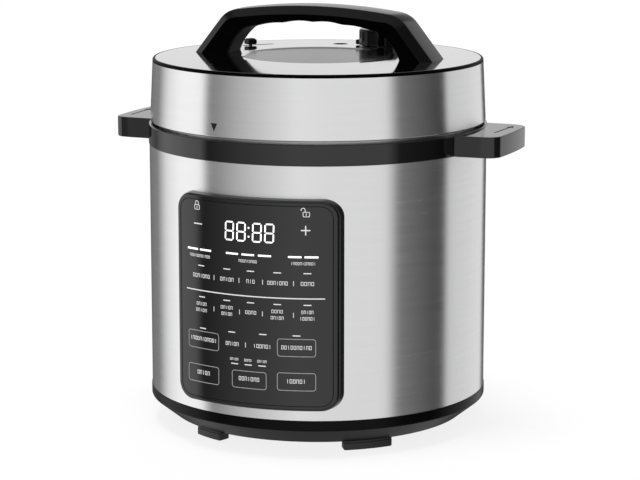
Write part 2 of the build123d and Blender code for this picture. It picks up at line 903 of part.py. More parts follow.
def slider_track():
    low = lid_high - 8.0
    middle = (slot_start + slot_end) / 2
    span = slot_end - slot_start + 16
    track = arc_block(slider_radius - 9, slider_radius + 9, low, lid_high - 1.6, middle, span)
    return track - arc_block(slider_radius - 6.4, slider_radius + 6.4, low + 3, lid_high, middle, span - 4)


os.makedirs("parts", exist_ok=True)
pieces = {
    "base_pan": base_pan, "feet": feet, "base_screws": base_screws, "support_posts": support_posts,
    "outer_shell": outer_shell, "collar_ring": collar_ring, "side_handle_screws": side_handle_screws,
    "inner_housing": inner_housing, "bayonet_ring": bayonet_ring,
    "inner_pot": inner_pot, "pot_base": pot_base,
    "heating_plate": heating_plate, "heating_element": heating_element, "heat_shield": heat_shield,
    "sensor_bracket": sensor_bracket, "sensor_cap": sensor_cap, "thermistor": thermistor,
    "sensor_spring": sensor_spring, "power_board": power_board, "board_components": board_components,
    "thermal_fuse": thermal_fuse, "pressure_switch": pressure_switch, "power_inlet": power_inlet,
    "inlet_pins": inlet_pins, "cup_holder": cup_holder, "condensation_cup": condensation_cup,
    "control_panel_housing": control_panel_housing, "control_panel_face": control_panel_face,
    "control_board": control_board, "display_module": display_module, "lid_side_band": lid_side_band,
    "lid_rim_trim": lid_rim_trim, "lid_top_plate": lid_top_plate, "lid_frame": lid_frame,
    "lid_posts": lid_posts, "inner_lid": inner_lid, "sealing_ring": sealing_ring, "seal_rack": seal_rack,
    "handle_cover": handle_cover, "handle_grip": handle_grip, "handle_screws": handle_screws,
    "valve_stem": valve_stem, "valve_seat": valve_seat, "anti_block_shield": anti_block_shield,
    "steam_valve_cap": steam_valve_cap, "float_guide": float_guide, "float_valve_pin": float_valve_pin,
    "float_seal": float_seal, "release_slider": release_slider, "slider_track": slider_track,
}
for node, make in pieces.items():
    save(make(), node)
save(side_handle(1), "right_side_handle")
save(side_handle(-1), "left_side_handle")
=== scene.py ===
import math

import bmesh
import bpy
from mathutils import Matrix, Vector


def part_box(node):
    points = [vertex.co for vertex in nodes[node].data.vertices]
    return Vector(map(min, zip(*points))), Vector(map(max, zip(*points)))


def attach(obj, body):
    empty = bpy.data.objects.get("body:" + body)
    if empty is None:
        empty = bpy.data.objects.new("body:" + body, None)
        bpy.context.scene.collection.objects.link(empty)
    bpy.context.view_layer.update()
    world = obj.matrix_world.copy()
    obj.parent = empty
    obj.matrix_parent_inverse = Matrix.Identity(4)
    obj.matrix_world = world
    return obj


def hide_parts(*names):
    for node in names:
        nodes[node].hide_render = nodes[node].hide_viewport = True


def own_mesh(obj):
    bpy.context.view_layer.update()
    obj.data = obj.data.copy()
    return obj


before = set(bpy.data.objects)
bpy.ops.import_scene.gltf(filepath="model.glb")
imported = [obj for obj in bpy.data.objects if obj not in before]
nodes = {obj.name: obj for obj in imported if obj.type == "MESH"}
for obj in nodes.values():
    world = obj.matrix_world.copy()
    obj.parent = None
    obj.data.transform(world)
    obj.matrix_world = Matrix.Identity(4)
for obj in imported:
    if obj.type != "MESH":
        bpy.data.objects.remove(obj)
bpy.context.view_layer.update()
scene = bpy.context.scene
mm = 0.001

# camera
cameraView = {
    "place": (0.7102, -1.7316, 0.5001), "tilt": 79.277, "turn": 22.3, "lens": 130.85, "sensor": 36,
    "shiftX": 0.003125,
}


def addCamera():
    data = bpy.data.cameras.new("camera")
    data.lens = cameraView["lens"]
    data.sensor_width = cameraView["sensor"]
    data.shift_x = cameraView["shiftX"]
    data.clip_end = 60
    camera = bpy.data.objects.new("camera", data)
    camera.location = cameraView["place"]
    camera.rotation_euler = (math.radians(cameraView["tilt"]), 0, math.radians(cameraView["turn"]))
    scene.collection.objects.link(camera)
    scene.camera = camera


addCamera()
print("camera ready")


# mesh helpers, all sizes in millimetres
def polar(radius, degrees):
    return radius * math.cos(math.radians(degrees)), radius * math.sin(math.radians(degrees))


def roundCorners(corners, steps=5):
    # each corner is (x, y, radius), the loop is closed
    points = []
    for i, (x, y, radius) in enumerate(corners):
        here = Vector((x, y))
        if radius <= 0:
            points.append((x, y))
            continue
        back = Vector(corners[i - 1][:2]) - here
        ahead = Vector(corners[(i + 1) % len(corners)][:2]) - here
        half = back.angle(ahead) / 2
        cut = min(radius / math.tan(half), 0.49 * back.length, 0.49 * ahead.length)
        radius = cut * math.tan(half)
        centre = here + (back.normalized() + ahead.normalized()).normalized() * (radius / math.sin(half))
        start = here + back.normalized() * cut - centre
        end = here + ahead.normalized() * cut - centre
        first = math.atan2(start.y, start.x)
        sweep = (math.atan2(end.y, end.x) - first + math.pi) % (2 * math.pi) - math.pi
        for k in range(steps + 1):
            angle = first + sweep * k / steps
            points.append((centre.x + radius * math.cos(angle), centre.y + radius * math.sin(angle)))
    return points


def insetLoop(points, distance):
    # moves a counter-clockwise loop inwards
    moved = []
    for i, point in enumerate(points):
        here = Vector(point)
        before = (here - Vector(points[i - 1])).normalized()
        after = (Vector(points[(i + 1) % len(points)]) - here).normalized()
        left = Vector((-before.y, before.x)) + Vector((-after.y, after.x))
        scale = distance / max(0.3, (left.length / 2) ** 2) / 2
        moved.append((here.x + left.x * scale, here.y + left.y * scale))
    return moved


def smoothMesh(piece, sharp=32):
    mesh = piece.data
    work = bmesh.new()
    work.from_mesh(mesh)
    bmesh.ops.remove_doubles(work, verts=work.verts, dist=2e-6)
    bmesh.ops.dissolve_degenerate(work, edges=work.edges, dist=1e-6)
    bmesh.ops.recalc_face_normals(work, faces=work.faces)
    work.to_mesh(mesh)
    work.free()
    mesh.shade_smooth()
    mesh.set_sharp_from_angle(angle=math.radians(sharp))
    even = piece.modifiers.new("evenShading", "WEIGHTED_NORMAL")
    even.keep_sharp = True
    even.weight = 60


def makePiece(name, verts, faces, material, sharp=32):
    mesh = bpy.data.meshes.new(name)
    mesh.from_pydata([(x * mm, y * mm, z * mm) for x, y, z in verts], [], faces)
    piece = bpy.data.objects.new(name, mesh)
    scene.collection.objects.link(piece)
    if material:
        mesh.materials.append(material)
    smoothMesh(piece, sharp)
    return piece


def loftFaces(verts, faces, loops, closeEnds=True, ringed=False):
    # adds quads between loops of equal length, and caps the first and the last one
    first = len(verts)
    count = len(loops[0])
    for loop in loops:
        verts.extend(loop)
    last = len(loops) if ringed else len(loops) - 1
    for i in range(last):
        a, b = first + i * count, first + (i + 1) % len(loops) * count
        for k in range(count):
            n = (k + 1) % count
            faces.append((a + k, a + n, b + n, b + k))
    if closeEnds and not ringed:
        faces.append([first + k for k in range(count)])
        faces.append([first + (len(loops) - 1) * count + k for k in range(count)])


def loft(name, loops, material, sharp=32, ringed=False):
    verts, faces = [], []
    loftFaces(verts, faces, loops, True, ringed)
    return makePiece(name, verts, faces, material, sharp)


def turn(name, outline, material, steps=240, centre=(0, 0), sharp=32, ripple=None):
    # turns a closed loop of (radius, height) about the upright axis
    verts, faces, rings = [], [], []
    for radius, height in outline:
        if radius < 1e-6:
            rings.append([len(verts)])
            verts.append((centre[0], centre[1], height))
            continue
        rings.append(range(len(verts), len(verts) + steps))
        for k in range(steps):
            angle = 2 * math.pi * k / steps
            r = radius + (ripple(radius, height, angle) if ripple else 0)
            verts.append((centre[0] + r * math.cos(angle), centre[1] + r * math.sin(angle), height))
    for i, a in enumerate(rings):
        b = rings[(i + 1) % len(rings)]
        for k in range(steps):
            n = (k + 1) % steps
            if len(a) == 1 and len(b) == 1:
                break
            if len(a) == 1:
                faces.append((a[0], b[k], b[n]))
            elif len(b) == 1:
                faces.append((a[k], a[n], b[0]))
            else:
                faces.append((a[k], a[n], b[n], b[k]))
    return makePiece(name, verts, faces, material, sharp)


def cut(piece, cutter, sharp=32):
    # takes the cutter's volume out of the piece and throws the cutter away
    for modifier in list(piece.modifiers):
        piece.modifiers.remove(modifier)
    hole = piece.modifiers.new("hole", "BOOLEAN")
    hole.operation = "DIFFERENCE"
    hole.solver = "EXACT"
    hole.object = cutter
    evaluated = piece.evaluated_get(bpy.context.evaluated_depsgraph_get())
    mesh = bpy.data.meshes.new_from_object(evaluated)
    piece.modifiers.remove(hole)
    piece.data = mesh
    bpy.data.objects.remove(cutter)
    smoothMesh(piece, sharp)


def cylinderParts(verts, faces, centre, radius, low, high, steps=48):
    loops = []
    for z in (low, high):
        loop = []
        for k in range(steps):
            x, y = polar(radius, 360 * k / steps)
            loop.append((centre[0] + x, centre[1] + y, z))
        loops.append(loop)
    loftFaces(verts, faces, loops)


def arcParts(verts, faces, inner, outer, low, high, start, end, steps=12):
    angles = [start + (end - start) * k / steps for k in range(steps + 1)]
    plan = [polar(outer, a) for a in angles] + [polar(inner, a) for a in reversed(angles)]
    loftFaces(verts, faces, [[(x, y, low) for x, y in plan], [(x, y, high) for x, y in plan]])


def boxParts(verts, faces, low, high, turned=0, about=(0, 0), edge=0.0):
    # an upright box with rounded edges, turned about a point in plan
    x0, y0, z0 = low
    x1, y1, z1 = high
    plan = [(x0, y0, edge), (x1, y0, edge), (x1, y1, edge), (x0, y1, edge)]
    outline = roundCorners(plan, 4) if edge else [p[:2] for p in plan]
    levels = [(0, z0), (0, z1)]
    if edge:
        levels = [(edge, z0), (0.29 * edge, z0 + 0.29 * edge), (0, z0 + edge)]
        levels += [(0, z1 - edge), (0.29 * edge, z1 - 0.29 * edge), (edge, z1)]
    c, s = math.cos(math.radians(turned)), math.sin(math.radians(turned))
    loops = []
    for inset, z in levels:
        loop = insetLoop(outline, min(inset, edge * 0.98)) if inset else outline
        loops.append([(about[0] + x * c - y * s, about[1] + x * s + y * c, z) for x, y in loop])
    loftFaces(verts, faces, loops)


def standOn(piece, body, slotName, *replaced):
    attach(piece, body)
    if replaced:
        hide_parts(*replaced)


# materials
class Nodes:
    # a short way to add and join shader nodes
    def __init__(self, material):
        material.use_nodes = True
        self.tree = material.node_tree
        self.tree.nodes.clear()

    def add(self, kind, inputs=None, **settings):
        node = self.tree.nodes.new("ShaderNode" + kind)
        for key, value in settings.items():
            setattr(node, key, value)
        for key, value in (inputs or {}).items():
            if isinstance(value, bpy.types.NodeSocket):
                self.tree.links.new(value, node.inputs[key])
            else:
                node.inputs[key].default_value = value
        return node

    def math(self, operation, a, b=0.0):
        return self.add("Math", {0: a, 1: b}, operation=operation).outputs[0]

    def span(self, value, low, high, toLow, toHigh, smooth=False):
        kind = "SMOOTHSTEP" if smooth else "LINEAR"
        inputs = {"Value": value, "From Min": low, "From Max": high, "To Min": toLow, "To Max": toHigh}
        return self.add("MapRange", inputs, interpolation_type=kind).outputs[0]

    def mixColour(self, factor, first, second):
        node = self.add("Mix", {0: factor, 6: first, 7: second}, data_type="RGBA")
        return node.outputs[2]

    def finish(self, shader):
        self.add("OutputMaterial", {"Surface": shader.outputs[0]})


def rgb(colour, scale=1.0):
    return (*[min(1.0, c * scale) for c in colour], 1.0)


def moulded(
    name, colour, rough, grain=0.0, grainSize=0.4, edge=0.0, clear=0.0, smear=0.12, ior=1.5, level=0.5,
):
    # plastic, rubber or paint: slow colour drift, uneven gloss, fine texture and rounded edges
    material = bpy.data.materials.new(name)
    kit = Nodes(material)
    where = kit.add("TexCoord").outputs["Object"]
    drift = kit.add("TexNoise", {"Vector": where, "Scale": 28.0, "Detail": 3.0}).outputs[0]
    fine = kit.add("TexNoise", {"Vector": where, "Scale": 1000.0 / grainSize, "Detail": 2.0}).outputs[0]
    wipe = kit.add("TexNoise", {"Vector": where, "Scale": 9.0, "Detail": 6.0, "Roughness": 0.6}).outputs[0]
    tone = kit.mixColour(drift, rgb(colour, 1 - smear), rgb(colour, 1 + smear))
    gloss = kit.span(wipe, 0.3, 0.7, rough * 0.85, rough * 1.15)
    inputs = {"Base Color": tone, "Roughness": gloss, "IOR": ior, "Specular IOR Level": level}
    if clear:
        inputs["Transmission Weight"] = clear
    normal = None
    if edge:
        normal = kit.add("Bevel", {"Radius": edge * mm}, samples=4).outputs[0]
    if grain:
        bump = {"Height": fine, "Strength": 0.55, "Distance": grain * mm}
        if normal:
            bump["Normal"] = normal
        normal = kit.add("Bump", bump).outputs[0]
    if normal:
        inputs["Normal"] = normal
    kit.finish(kit.add("BsdfPrincipled", inputs))
    return material


def brushed(
    name, colour, rough, stretch=0.75, around=True, streak=0.05, lineDepth=0.002, edge=0.0, glance=1.0,
):
    # metal brushed in rings about the upright axis
    material = bpy.data.materials.new(name)
    kit = Nodes(material)
    where = kit.add("TexCoord").outputs["Object"]
    parts = kit.add("SeparateXYZ", {0: where})
    x, y, z = parts.outputs[0], parts.outputs[1], parts.outputs[2]
    flat = kit.add("CombineXYZ", {0: x, 1: y}).outputs[0]
    radius = kit.add("VectorMath", {0: flat}, operation="LENGTH").outputs["Value"]
    across = z if around else radius
    unitX, unitY = kit.math("DIVIDE", x, radius), kit.math("DIVIDE", y, radius)

    def scratches(along, over, detail):
        # noise drawn out along the brushing
        spread = {0: (unitX, along), 1: (unitY, along), 2: (across, over)}
        vector = {key: kit.math("MULTIPLY", value, scale) for key, (value, scale) in spread.items()}
        stretched = kit.add("CombineXYZ", vector).outputs[0]
        return kit.add("TexNoise", {"Vector": stretched, "Scale": 1.0, "Detail": detail}).outputs[0]

    lines = scratches(2.2, 2600.0, 4.0)
    broad = scratches(1.3, 240.0, 2.0)
    both = kit.math("ADD", kit.math("MULTIPLY", lines, 0.6), kit.math("MULTIPLY", broad, 0.4))
    shade = kit.span(both, 0.3, 0.7, 0.0, 1.0)
    tone = kit.mixColour(shade, rgb(colour, 1 - streak), rgb(colour, 1 + streak))
    gloss = kit.span(both, 0.3, 0.7, rough * 0.85, rough * 1.15)
    tangent = kit.add("Tangent", direction_type="RADIAL", axis="Z").outputs[0]
    bump = {"Height": lines, "Strength": 0.35, "Distance": lineDepth * mm}
    if edge:
        bump["Normal"] = kit.add("Bevel", {"Radius": edge * mm}, samples=4).outputs[0]
    inputs = {
        "Base Color": tone, "Metallic": 1.0, "Roughness": gloss, "Anisotropic": stretch,
        "Anisotropic Rotation": 0.25, "Tangent": tangent, "Normal": kit.add("Bump", bump).outputs[0],
        "Specular Tint": rgb((glance, glance, glance)),
    }
    kit.finish(kit.add("BsdfPrincipled", inputs))
    return material


def plainMetal(name, colour, rough, edge=0.2):
    material = bpy.data.materials.new(name)
    kit = Nodes(material)
    where = kit.add("TexCoord").outputs["Object"]
    cloud = kit.add("TexNoise", {"Vector": where, "Scale": 90.0, "Detail": 5.0}).outputs[0]
    speck = kit.add("TexNoise", {"Vector": where, "Scale": 1800.0, "Detail": 2.0}).outputs[0]
    tone = kit.mixColour(cloud, rgb(colour, 0.92), rgb(colour, 1.06))
    normal = kit.add("Bevel", {"Radius": edge * mm}, samples=4).outputs[0]
    bump = {"Height": speck, "Strength": 0.3, "Distance": 0.004 * mm, "Normal": normal}
    normal = kit.add("Bump", bump).outputs[0]
    gloss = kit.span(cloud, 0.3, 0.7, rough * 0.8, rough * 1.2)
    inputs = {"Base Color": tone, "Metallic": 1.0, "Roughness": gloss, "Normal": normal}
    kit.finish(kit.add("BsdfPrincipled", inputs))
    return material


def litInk(name, colour, glow, rough=0.5):
    # printed marks and the display's lit marks, a little uneven; the glow on printed marks is painted light
    material = bpy.data.materials.new(name)
    kit = Nodes(material)
    where = kit.add("TexCoord").outputs["Object"]
    cloud = kit.add("TexNoise", {"Vector": where, "Scale": 700.0, "Detail": 2.0}).outputs[0]
    tone = kit.mixColour(cloud, rgb(colour, 0.94), rgb(colour, 1.04))
    # emission: painted light on printed marks, the display's own light on the digits
    inputs = {"Base Color": tone, "Roughness": rough, "Emission Strength": glow}
    if glow:
        inputs["Emission Color"] = tone
    kit.finish(kit.add("BsdfPrincipled", inputs))
    return material


brushedMetals = {
    "shellSteel": dict(colour=(0.80, 0.80, 0.805), rough=0.24, stretch=0.82, streak=0.035),
    "bandSteel": dict(colour=(0.80, 0.80, 0.805), rough=0.22, stretch=0.82, streak=0.03),
    "plateSteel": dict(
        colour=(0.70, 0.70, 0.705), rough=0.06, stretch=0.2, around=False, streak=0.01, lineDepth=0.0002,
    ),
    # the centre disc is toned far darker than the plate, with weaker glancing reflection: painted shade
    # standing in for the disc's darker reflection
    "discSteel": dict(
        colour=(0.37, 0.37, 0.375), rough=0.13, stretch=0.3, around=False, streak=0.02, lineDepth=0.0003,
        glance=0.6,
    ),
    "potSteel": dict(colour=(0.74, 0.74, 0.745), rough=0.3, stretch=0.6, streak=0.05, edge=0.4),
    "castMetal": dict(
        colour=(0.72, 0.72, 0.73), rough=0.36, stretch=0.6, around=False, streak=0.06, edge=0.5,
    ),
}
plainMetals = {
    "linerSteel": dict(colour=(0.62, 0.62, 0.60), rough=0.42),
    "screwMetal": dict(colour=(0.6, 0.6, 0.6), rough=0.25, edge=0.15),
    "brass": dict(colour=(0.78, 0.62, 0.34), rough=0.3, edge=0.2),
}
mouldings = {
    "glossBlack": dict(colour=(0.0004, 0.0004, 0.0005), rough=0.06, edge=0.5, ior=1.58),
    "handleBlack": dict(
        colour=(0.0012, 0.0012, 0.0014), rough=0.17, grain=0.004, grainSize=0.5, edge=0.35, ior=1.28,
    ),
    "gripBlack": dict(
        colour=(0.0008, 0.0008, 0.0009), rough=0.35, grain=0.006, grainSize=0.5, edge=0.35, ior=1.12,
        level=0.3,
    ),
    "capBlack": dict(colour=(0.001, 0.001, 0.0011), rough=0.09, edge=0.3, ior=1.3),
    # near black with no reflection at all: painted shade for the hollows of the float guide, the release
    # slot and the slider track
    "hollowBlack": dict(
        colour=(0.001, 0.001, 0.001), rough=0.6, grain=0.01, grainSize=0.5, ior=1.08, level=0.0,
    ),
    "satinBlack": dict(
        colour=(0.012, 0.012, 0.013), rough=0.42, grain=0.02, grainSize=0.45, edge=0.5,
    ),
    "baseBlack": dict(
        colour=(0.001, 0.001, 0.0011), rough=0.25, grain=0.006, grainSize=0.5, ior=1.22, level=0.4,
    ),
    "panelBlack": dict(colour=(0.0006, 0.0006, 0.0007), rough=0.1, smear=0.06, ior=1.6),
    "footRubber": dict(colour=(0.004, 0.004, 0.004), rough=0.45, grain=0.03, grainSize=0.6),
    "silicone": dict(
        colour=(0.74, 0.76, 0.76), rough=0.48, grain=0.01, grainSize=0.7, edge=0.4, clear=0.25,
    ),
    "smokyPlastic": dict(colour=(0.32, 0.33, 0.34), rough=0.2, grain=0.004, edge=0.5, clear=0.35),
    "boardGreen": dict(colour=(0.03, 0.16, 0.07), rough=0.35, grain=0.01, grainSize=0.3),
    "componentGrey": dict(colour=(0.09, 0.09, 0.1), rough=0.45, grain=0.02, edge=0.3),
    "ceramic": dict(colour=(0.8, 0.79, 0.75), rough=0.5, grain=0.02, edge=0.4),
    "glass": dict(colour=(0.01, 0.01, 0.012), rough=0.06),
}
inks = {
    # the printed ink and the frame lines glow a little, painted light standing in for the light falling on
    # the upright panel; the digits glow as the display's own light
    "ink": dict(colour=(0.72, 0.72, 0.73), glow=0.3),
    "digits": dict(colour=(0.95, 0.96, 0.97), glow=0.9),
    "darkInk": dict(colour=(0.001, 0.001, 0.001), glow=0.0, rough=0.8),
    "frameInk": dict(colour=(0.4, 0.4, 0.41), glow=0.12),
}
finishes = {}
makers = ((brushed, brushedMetals), (plainMetal, plainMetals), (moulded, mouldings), (litInk, inks))
for maker, looks in makers:
    for name, look in looks.items():
        finishes[name] = maker(name, **look)
print("materials ready")

# pieces kept from the frame, with their own finishes
keptFinishes = {
    "shellSteel": ["outer_shell"],
    "potSteel": ["inner_pot", "pot_base", "inner_lid", "bayonet_ring"],
    "linerSteel": ["inner_housing", "heat_shield", "sensor_bracket", "anti_block_shield"],
    "castMetal": ["heating_plate", "sensor_cap"],
    "screwMetal": [
        "base_screws", "side_handle_screws", "handle_screws", "valve_stem", "float_valve_pin", "seal_rack",
    ],
    "brass": ["inlet_pins"],
    "satinBlack": ["support_posts", "lid_frame", "lid_posts", "valve_seat", "power_inlet", "cup_holder"],
    "hollowBlack": ["slider_track"],
    # the slider track, seen through the slot, takes the painted shade black
    "silicone": ["sealing_ring", "float_seal"],
    "smokyPlastic": ["condensation_cup"],
    "boardGreen": ["power_board", "control_board"],
    "componentGrey": ["board_components", "pressure_switch"],
    "ceramic": ["heating_element", "thermal_fuse", "thermistor"],
    "glass": ["display_module"],
}


def dressKept():
    for finish, names in keptFinishes.items():
        for name in names:
            data = nodes[name].data
            if not data.materials:
                data.materials.append(finishes[finish])
            for i in range(len(data.materials)):
                data.materials[i] = finishes[finish]


dressKept()
print("kept pieces dressed")

# base
base = {
    "floorRadius": 120.0, "ringRadius": 137.0, "low": 8.0, "coneHigh": 21.5, "high": 29.5,
    "spigotRadius": 135.5, "wall": 2.5, "vents": 24, "ventSlot": (62, 86, 1.6), "ventTurn": 7.5,
    "screws": 3, "screwCircle": 100, "screwHole": 4.2,
}


def makeBase():
    inside = base["spigotRadius"] - base["wall"]
    outline = roundCorners([
        (0, base["low"], 0), (base["floorRadius"] - 14, base["low"], 0),
        (base["floorRadius"] - 13, base["low"] + 0.8, 0),
        (base["floorRadius"] - 11, base["low"] + 0.8, 0), (base["floorRadius"] - 10, base["low"], 0),
        (base["floorRadius"], base["low"], 2.0), (base["ringRadius"], base["coneHigh"], 1.6),
        (base["ringRadius"], base["high"] - 0.1, 0.9), (base["spigotRadius"], base["high"] - 0.1, 0),
        (base["spigotRadius"], base["high"] + 6, 0.6), (inside, base["high"] + 6, 0.6),
        (inside, base["coneHigh"] + 1, 2), (base["floorRadius"] - 1, base["low"] + 2.5, 1),
        (0, base["low"] + 2.5, 0),
    ])
    pan = turn("basePan", outline, finishes["baseBlack"], 240)
    verts, faces = [], []
    near, far, half = base["ventSlot"]
    for k in range(base["vents"]):
        angle = base["ventTurn"] + 360 * k / base["vents"]
        boxParts(verts, faces, (near, -half, 4), (far, half, 14), angle)
    for k in range(base["screws"]):
        place = polar(base["screwCircle"], 90 + 360 * k / base["screws"])
        cylinderParts(verts, faces, place, base["screwHole"], 4, base["low"] + 1.2, 32)
    cut(pan, makePiece("cutter", verts, faces, None))
    standOn(pan, "housing", "satin_black", "base_pan")


foot = {
    "inner": 107.0, "outer": 118.0, "high": 8.3, "corner": 2.2,
    "places": ((64.1, 14.0), (132.2, 20.0), (244.1, 14.0), (312.2, 20.0)),
}


def makeFeet():
    verts, faces = [], []
    for angle, span in foot["places"]:
        steps = 10
        sweep = [angle - span / 2 + span * k / steps for k in range(steps + 1)]
        plan = []
        for radius, angles in ((foot["outer"], sweep), (foot["inner"], sweep[::-1])):
            for k, a in enumerate(angles):
                plan.append((*polar(radius, a), foot["corner"] if k in (0, steps) else 0))
        outline = roundCorners(plan, 4)
        levels = [(1.3, 0.0), (0.55, 0.18), (0.12, 0.6), (0, 1.2)]
        levels += [(0, 5.6), (0.35, 5.9), (0.35, 6.3), (0, 6.6), (0, foot["high"])]
        loops = []
        for inset, z in levels:
            loop = insetLoop(outline, inset) if inset else outline
            loops.append([(x, y, z) for x, y in loop])
        loftFaces(verts, faces, loops)
    feet = makePiece("feet", verts, faces, finishes["footRubber"])
    standOn(feet, "housing", "foot_rubber", "feet")


makeBase()
makeFeet()
print("base made")

# collar and side handles
collar = {
    "radius": 137.0, "low": 227.8, "high": 244.3, "wall": 2.5, "floor": 230.5, "inner": 116.2,
    "drainY": 124.0, "drain": 3.2,
}


def makeCollar():
    r, low, high = collar["radius"], collar["low"], collar["high"]
    spigot = base["spigotRadius"]
    outline = roundCorners([
        (collar["inner"], collar["floor"] - 2, 0), (r - 2.5, collar["floor"] - 2, 0),
        (spigot - 2, low - 5, 0), (spigot, low - 5, 0.5), (spigot, low, 0), (r, low + 0.05, 0.7),
        (r, high, 1.1), (r - collar["wall"], high, 0.5), (r - collar["wall"], collar["floor"], 0.8),
        (collar["inner"], collar["floor"], 0.3),
    ])
    ring = turn("collarRing", outline, finishes["glossBlack"], 300)
    verts, faces = [], []
    cylinderParts(verts, faces, (0, collar["drainY"]), collar["drain"], 220, 240, 32)
    cut(ring, makePiece("cutter", verts, faces, None))
    standOn(ring, "housing", "gloss_black", "collar_ring")


sideHandle = {
    "rootHalf": 41.0, "reach": 166.9, "low": 227.8, "high": 244.3, "edge": 0.8, "wall": 3.5,
    "pocketHigh": 238.3,
    "bends": [(152.0, 40.5, 14.0), (161.0, 39.0, 9.0), (165.4, 32.0, 5.0)], "tipHalf": 28, "tipBow": 1.5,
}


def sideOutline():
    root = collar["radius"] + 0.06
    halfAngle = math.degrees(math.asin(sideHandle["rootHalf"] / root))
    inner = [(*polar(root, halfAngle - 2 * halfAngle * k / 16), 0) for k in range(17)]
    lower = [(x, -y, r) for x, y, r in sideHandle["bends"]]
    upper = [(x, y, r) for x, y, r in reversed(sideHandle["bends"])]
    half, reach, bow = sideHandle["tipHalf"], sideHandle["reach"], sideHandle["tipBow"]
    cornerHalf = sideHandle["bends"][-1][1]
    tip = [(reach - bow * (y / cornerHalf) ** 2, y, 0) for y in range(-half, half + 1, 4)]
    return roundCorners(inner + lower + tip + upper, 6)


def makeSideHandle(name, side, node):
    outline = sideOutline()
    s = sideHandle
    e = s["edge"]
    levels = [
        (s["wall"], s["pocketHigh"]), (s["wall"], s["low"] + 0.5), (s["wall"] - 0.4, s["low"]),
        (e, s["low"]), (0.29 * e, s["low"] + 0.29 * e), (0, s["low"] + e), (0, s["high"] - e),
        (0.13 * e, s["high"] - 0.5 * e), (0.5 * e, s["high"] - 0.13 * e), (e, s["high"]),
    ]
    loops = []
    for inset, z in levels:
        loop = insetLoop(outline, inset) if inset else outline
        loops.append([(side * x, side * y, z) for x, y in loop])
    handle = loft(name, loops, finishes["glossBlack"])
    standOn(handle, "housing", "gloss_black", node)


def flatStroke(verts, faces, points, width, low, high):
    # a line of one width on a level surface
    left, right = [], []
    for i, point in enumerate(points):
        here = Vector(point)
        ahead = Vector(points[min(i + 1, len(points) - 1)]) - Vector(points[max(i - 1, 0)])
        side = Vector((-ahead.y, ahead.x)).normalized() * width / 2
        left.append(here + side)
        right.append(here - side)
    plan = left + right[::-1]
    loftFaces(verts, faces, [[(p.x, p.y, low) for p in plan], [(p.x, p.y, high) for p in plan]])


turnMarks = {
    "shafts": (((154.3, -12.8), (156.2, 19.6)), ((-157.0, -24.0), (-158.0, 8.0))),
    "line": 1.5, "head": 6.0, "tip": 9.2, "lift": 0.05, "root": 0.3,
}


def makeTurnMarks():
    verts, faces = [], []
    low, high = sideHandle["high"] - turnMarks["root"], sideHandle["high"] + turnMarks["lift"]
    for shaft in turnMarks["shafts"]:
        flatStroke(verts, faces, shaft, turnMarks["line"], low, high)
        neck = Vector(shaft[1])
        along = (neck - Vector(shaft[0])).normalized()
        across = Vector((-along.y, along.x)) * turnMarks["head"] / 2
        head = [neck + across, neck - across, neck + along * turnMarks["tip"]]
        loftFaces(verts, faces, [[(p.x, p.y, z) for p in head] for z in (low, high)])
    marks = makePiece("turnArrows", verts, faces, finishes["darkInk"])
    standOn(marks, "housing", "gloss_black")


makeCollar()
makeSideHandle("rightSideHandle", 1, "right_side_handle")
makeSideHandle("leftSideHandle", -1, "left_side_handle")
makeTurnMarks()
print("collar and side handles made")

# control panel
panel = {
    "halfWidth": 68.0, "low": 38.0, "high": 203.0, "corner": 14.0, "shell": 136.56, "reach": 144.0,
    "bevel": 2.2, "border": 4.6, "faceRadius": 143.9, "recess": 142.6,
    "inkLow": 143.7, "inkHigh": 143.98, "shift": 1.9,
}


def panelLoop(inset, radius, steps=14):
    # a rounded rectangle wrapped on an upright cylinder, in order round the panel
    halfW = panel["halfWidth"] - inset
    low, high = panel["low"] + inset, panel["high"] - inset
    corner = max(panel["corner"] - inset, 2.0)
    corners = [(-halfW, low, corner), (halfW, low, corner), (halfW, high, corner), (-halfW, high, corner)]
    plan = roundCorners(corners, steps)
    fine = []
    for i, (x, z) in enumerate(plan):
        nextX, nextZ = plan[(i + 1) % len(plan)]
        pieces = 36 if abs(nextX - x) > 40 else 1
        for k in range(pieces):
            fine.append((x + (nextX - x) * k / pieces + panel["shift"], z + (nextZ - z) * k / pieces))
    return [(x, -math.sqrt(radius * radius - x * x), z) for x, z in fine]


def panelFill(verts, faces, loop):
    # closes a panel loop with upright strips that follow the curve
    first = len(verts)
    verts.extend(loop)
    count = len(loop)
    low = min(range(count), key=lambda k: (round(loop[k][0], 3), loop[k][2]))
    i, j = low, (low - 1) % count
    while True:
        nextI, nextJ = (i + 1) % count, (j - 1) % count
        if nextI == j:
            break
        if nextI == nextJ:
            faces.append((first + i, first + nextI, first + j))
            break
        if abs(loop[nextI][0] - loop[nextJ][0]) < 0.01:
            faces.append((first + i, first + nextI, first + nextJ, first + j))
            i, j = nextI, nextJ
        elif loop[nextI][0] < loop[nextJ][0]:
            faces.append((first + i, first + nextI, first + j))
            i = nextI
        else:
            faces.append((first + i, first + nextJ, first + j))
            j = nextJ


def makePanelHousing():
    p = panel
    face, b = p["reach"], p["bevel"]
    rings = [
        (0.0, p["shell"]), (0.6, face - b * 1.1), (0.6 + 0.08 * b, face - 0.75 * b),
        (0.6 + 0.24 * b, face - 0.42 * b), (0.6 + 0.48 * b, face - 0.17 * b),
        (0.6 + 0.78 * b, face - 0.03 * b), (0.6 + b * 1.1, face), (p["border"] - 0.35, face),
        (p["border"] - 0.08, face - 0.1), (p["border"], face - 0.35), (p["border"], p["recess"]),
        (p["border"] + 3.0, p["recess"]), (p["border"] + 3.0, p["shell"] - 2.0), (1.5, p["shell"] - 2.0),
        (1.5, p["shell"]),
    ]
    loops = [panelLoop(inset, radius) for inset, radius in rings]
    housing = loft("panelHousing", loops, finishes["glossBlack"], 28, True)
    standOn(housing, "housing", "gloss_black", "control_panel_housing")


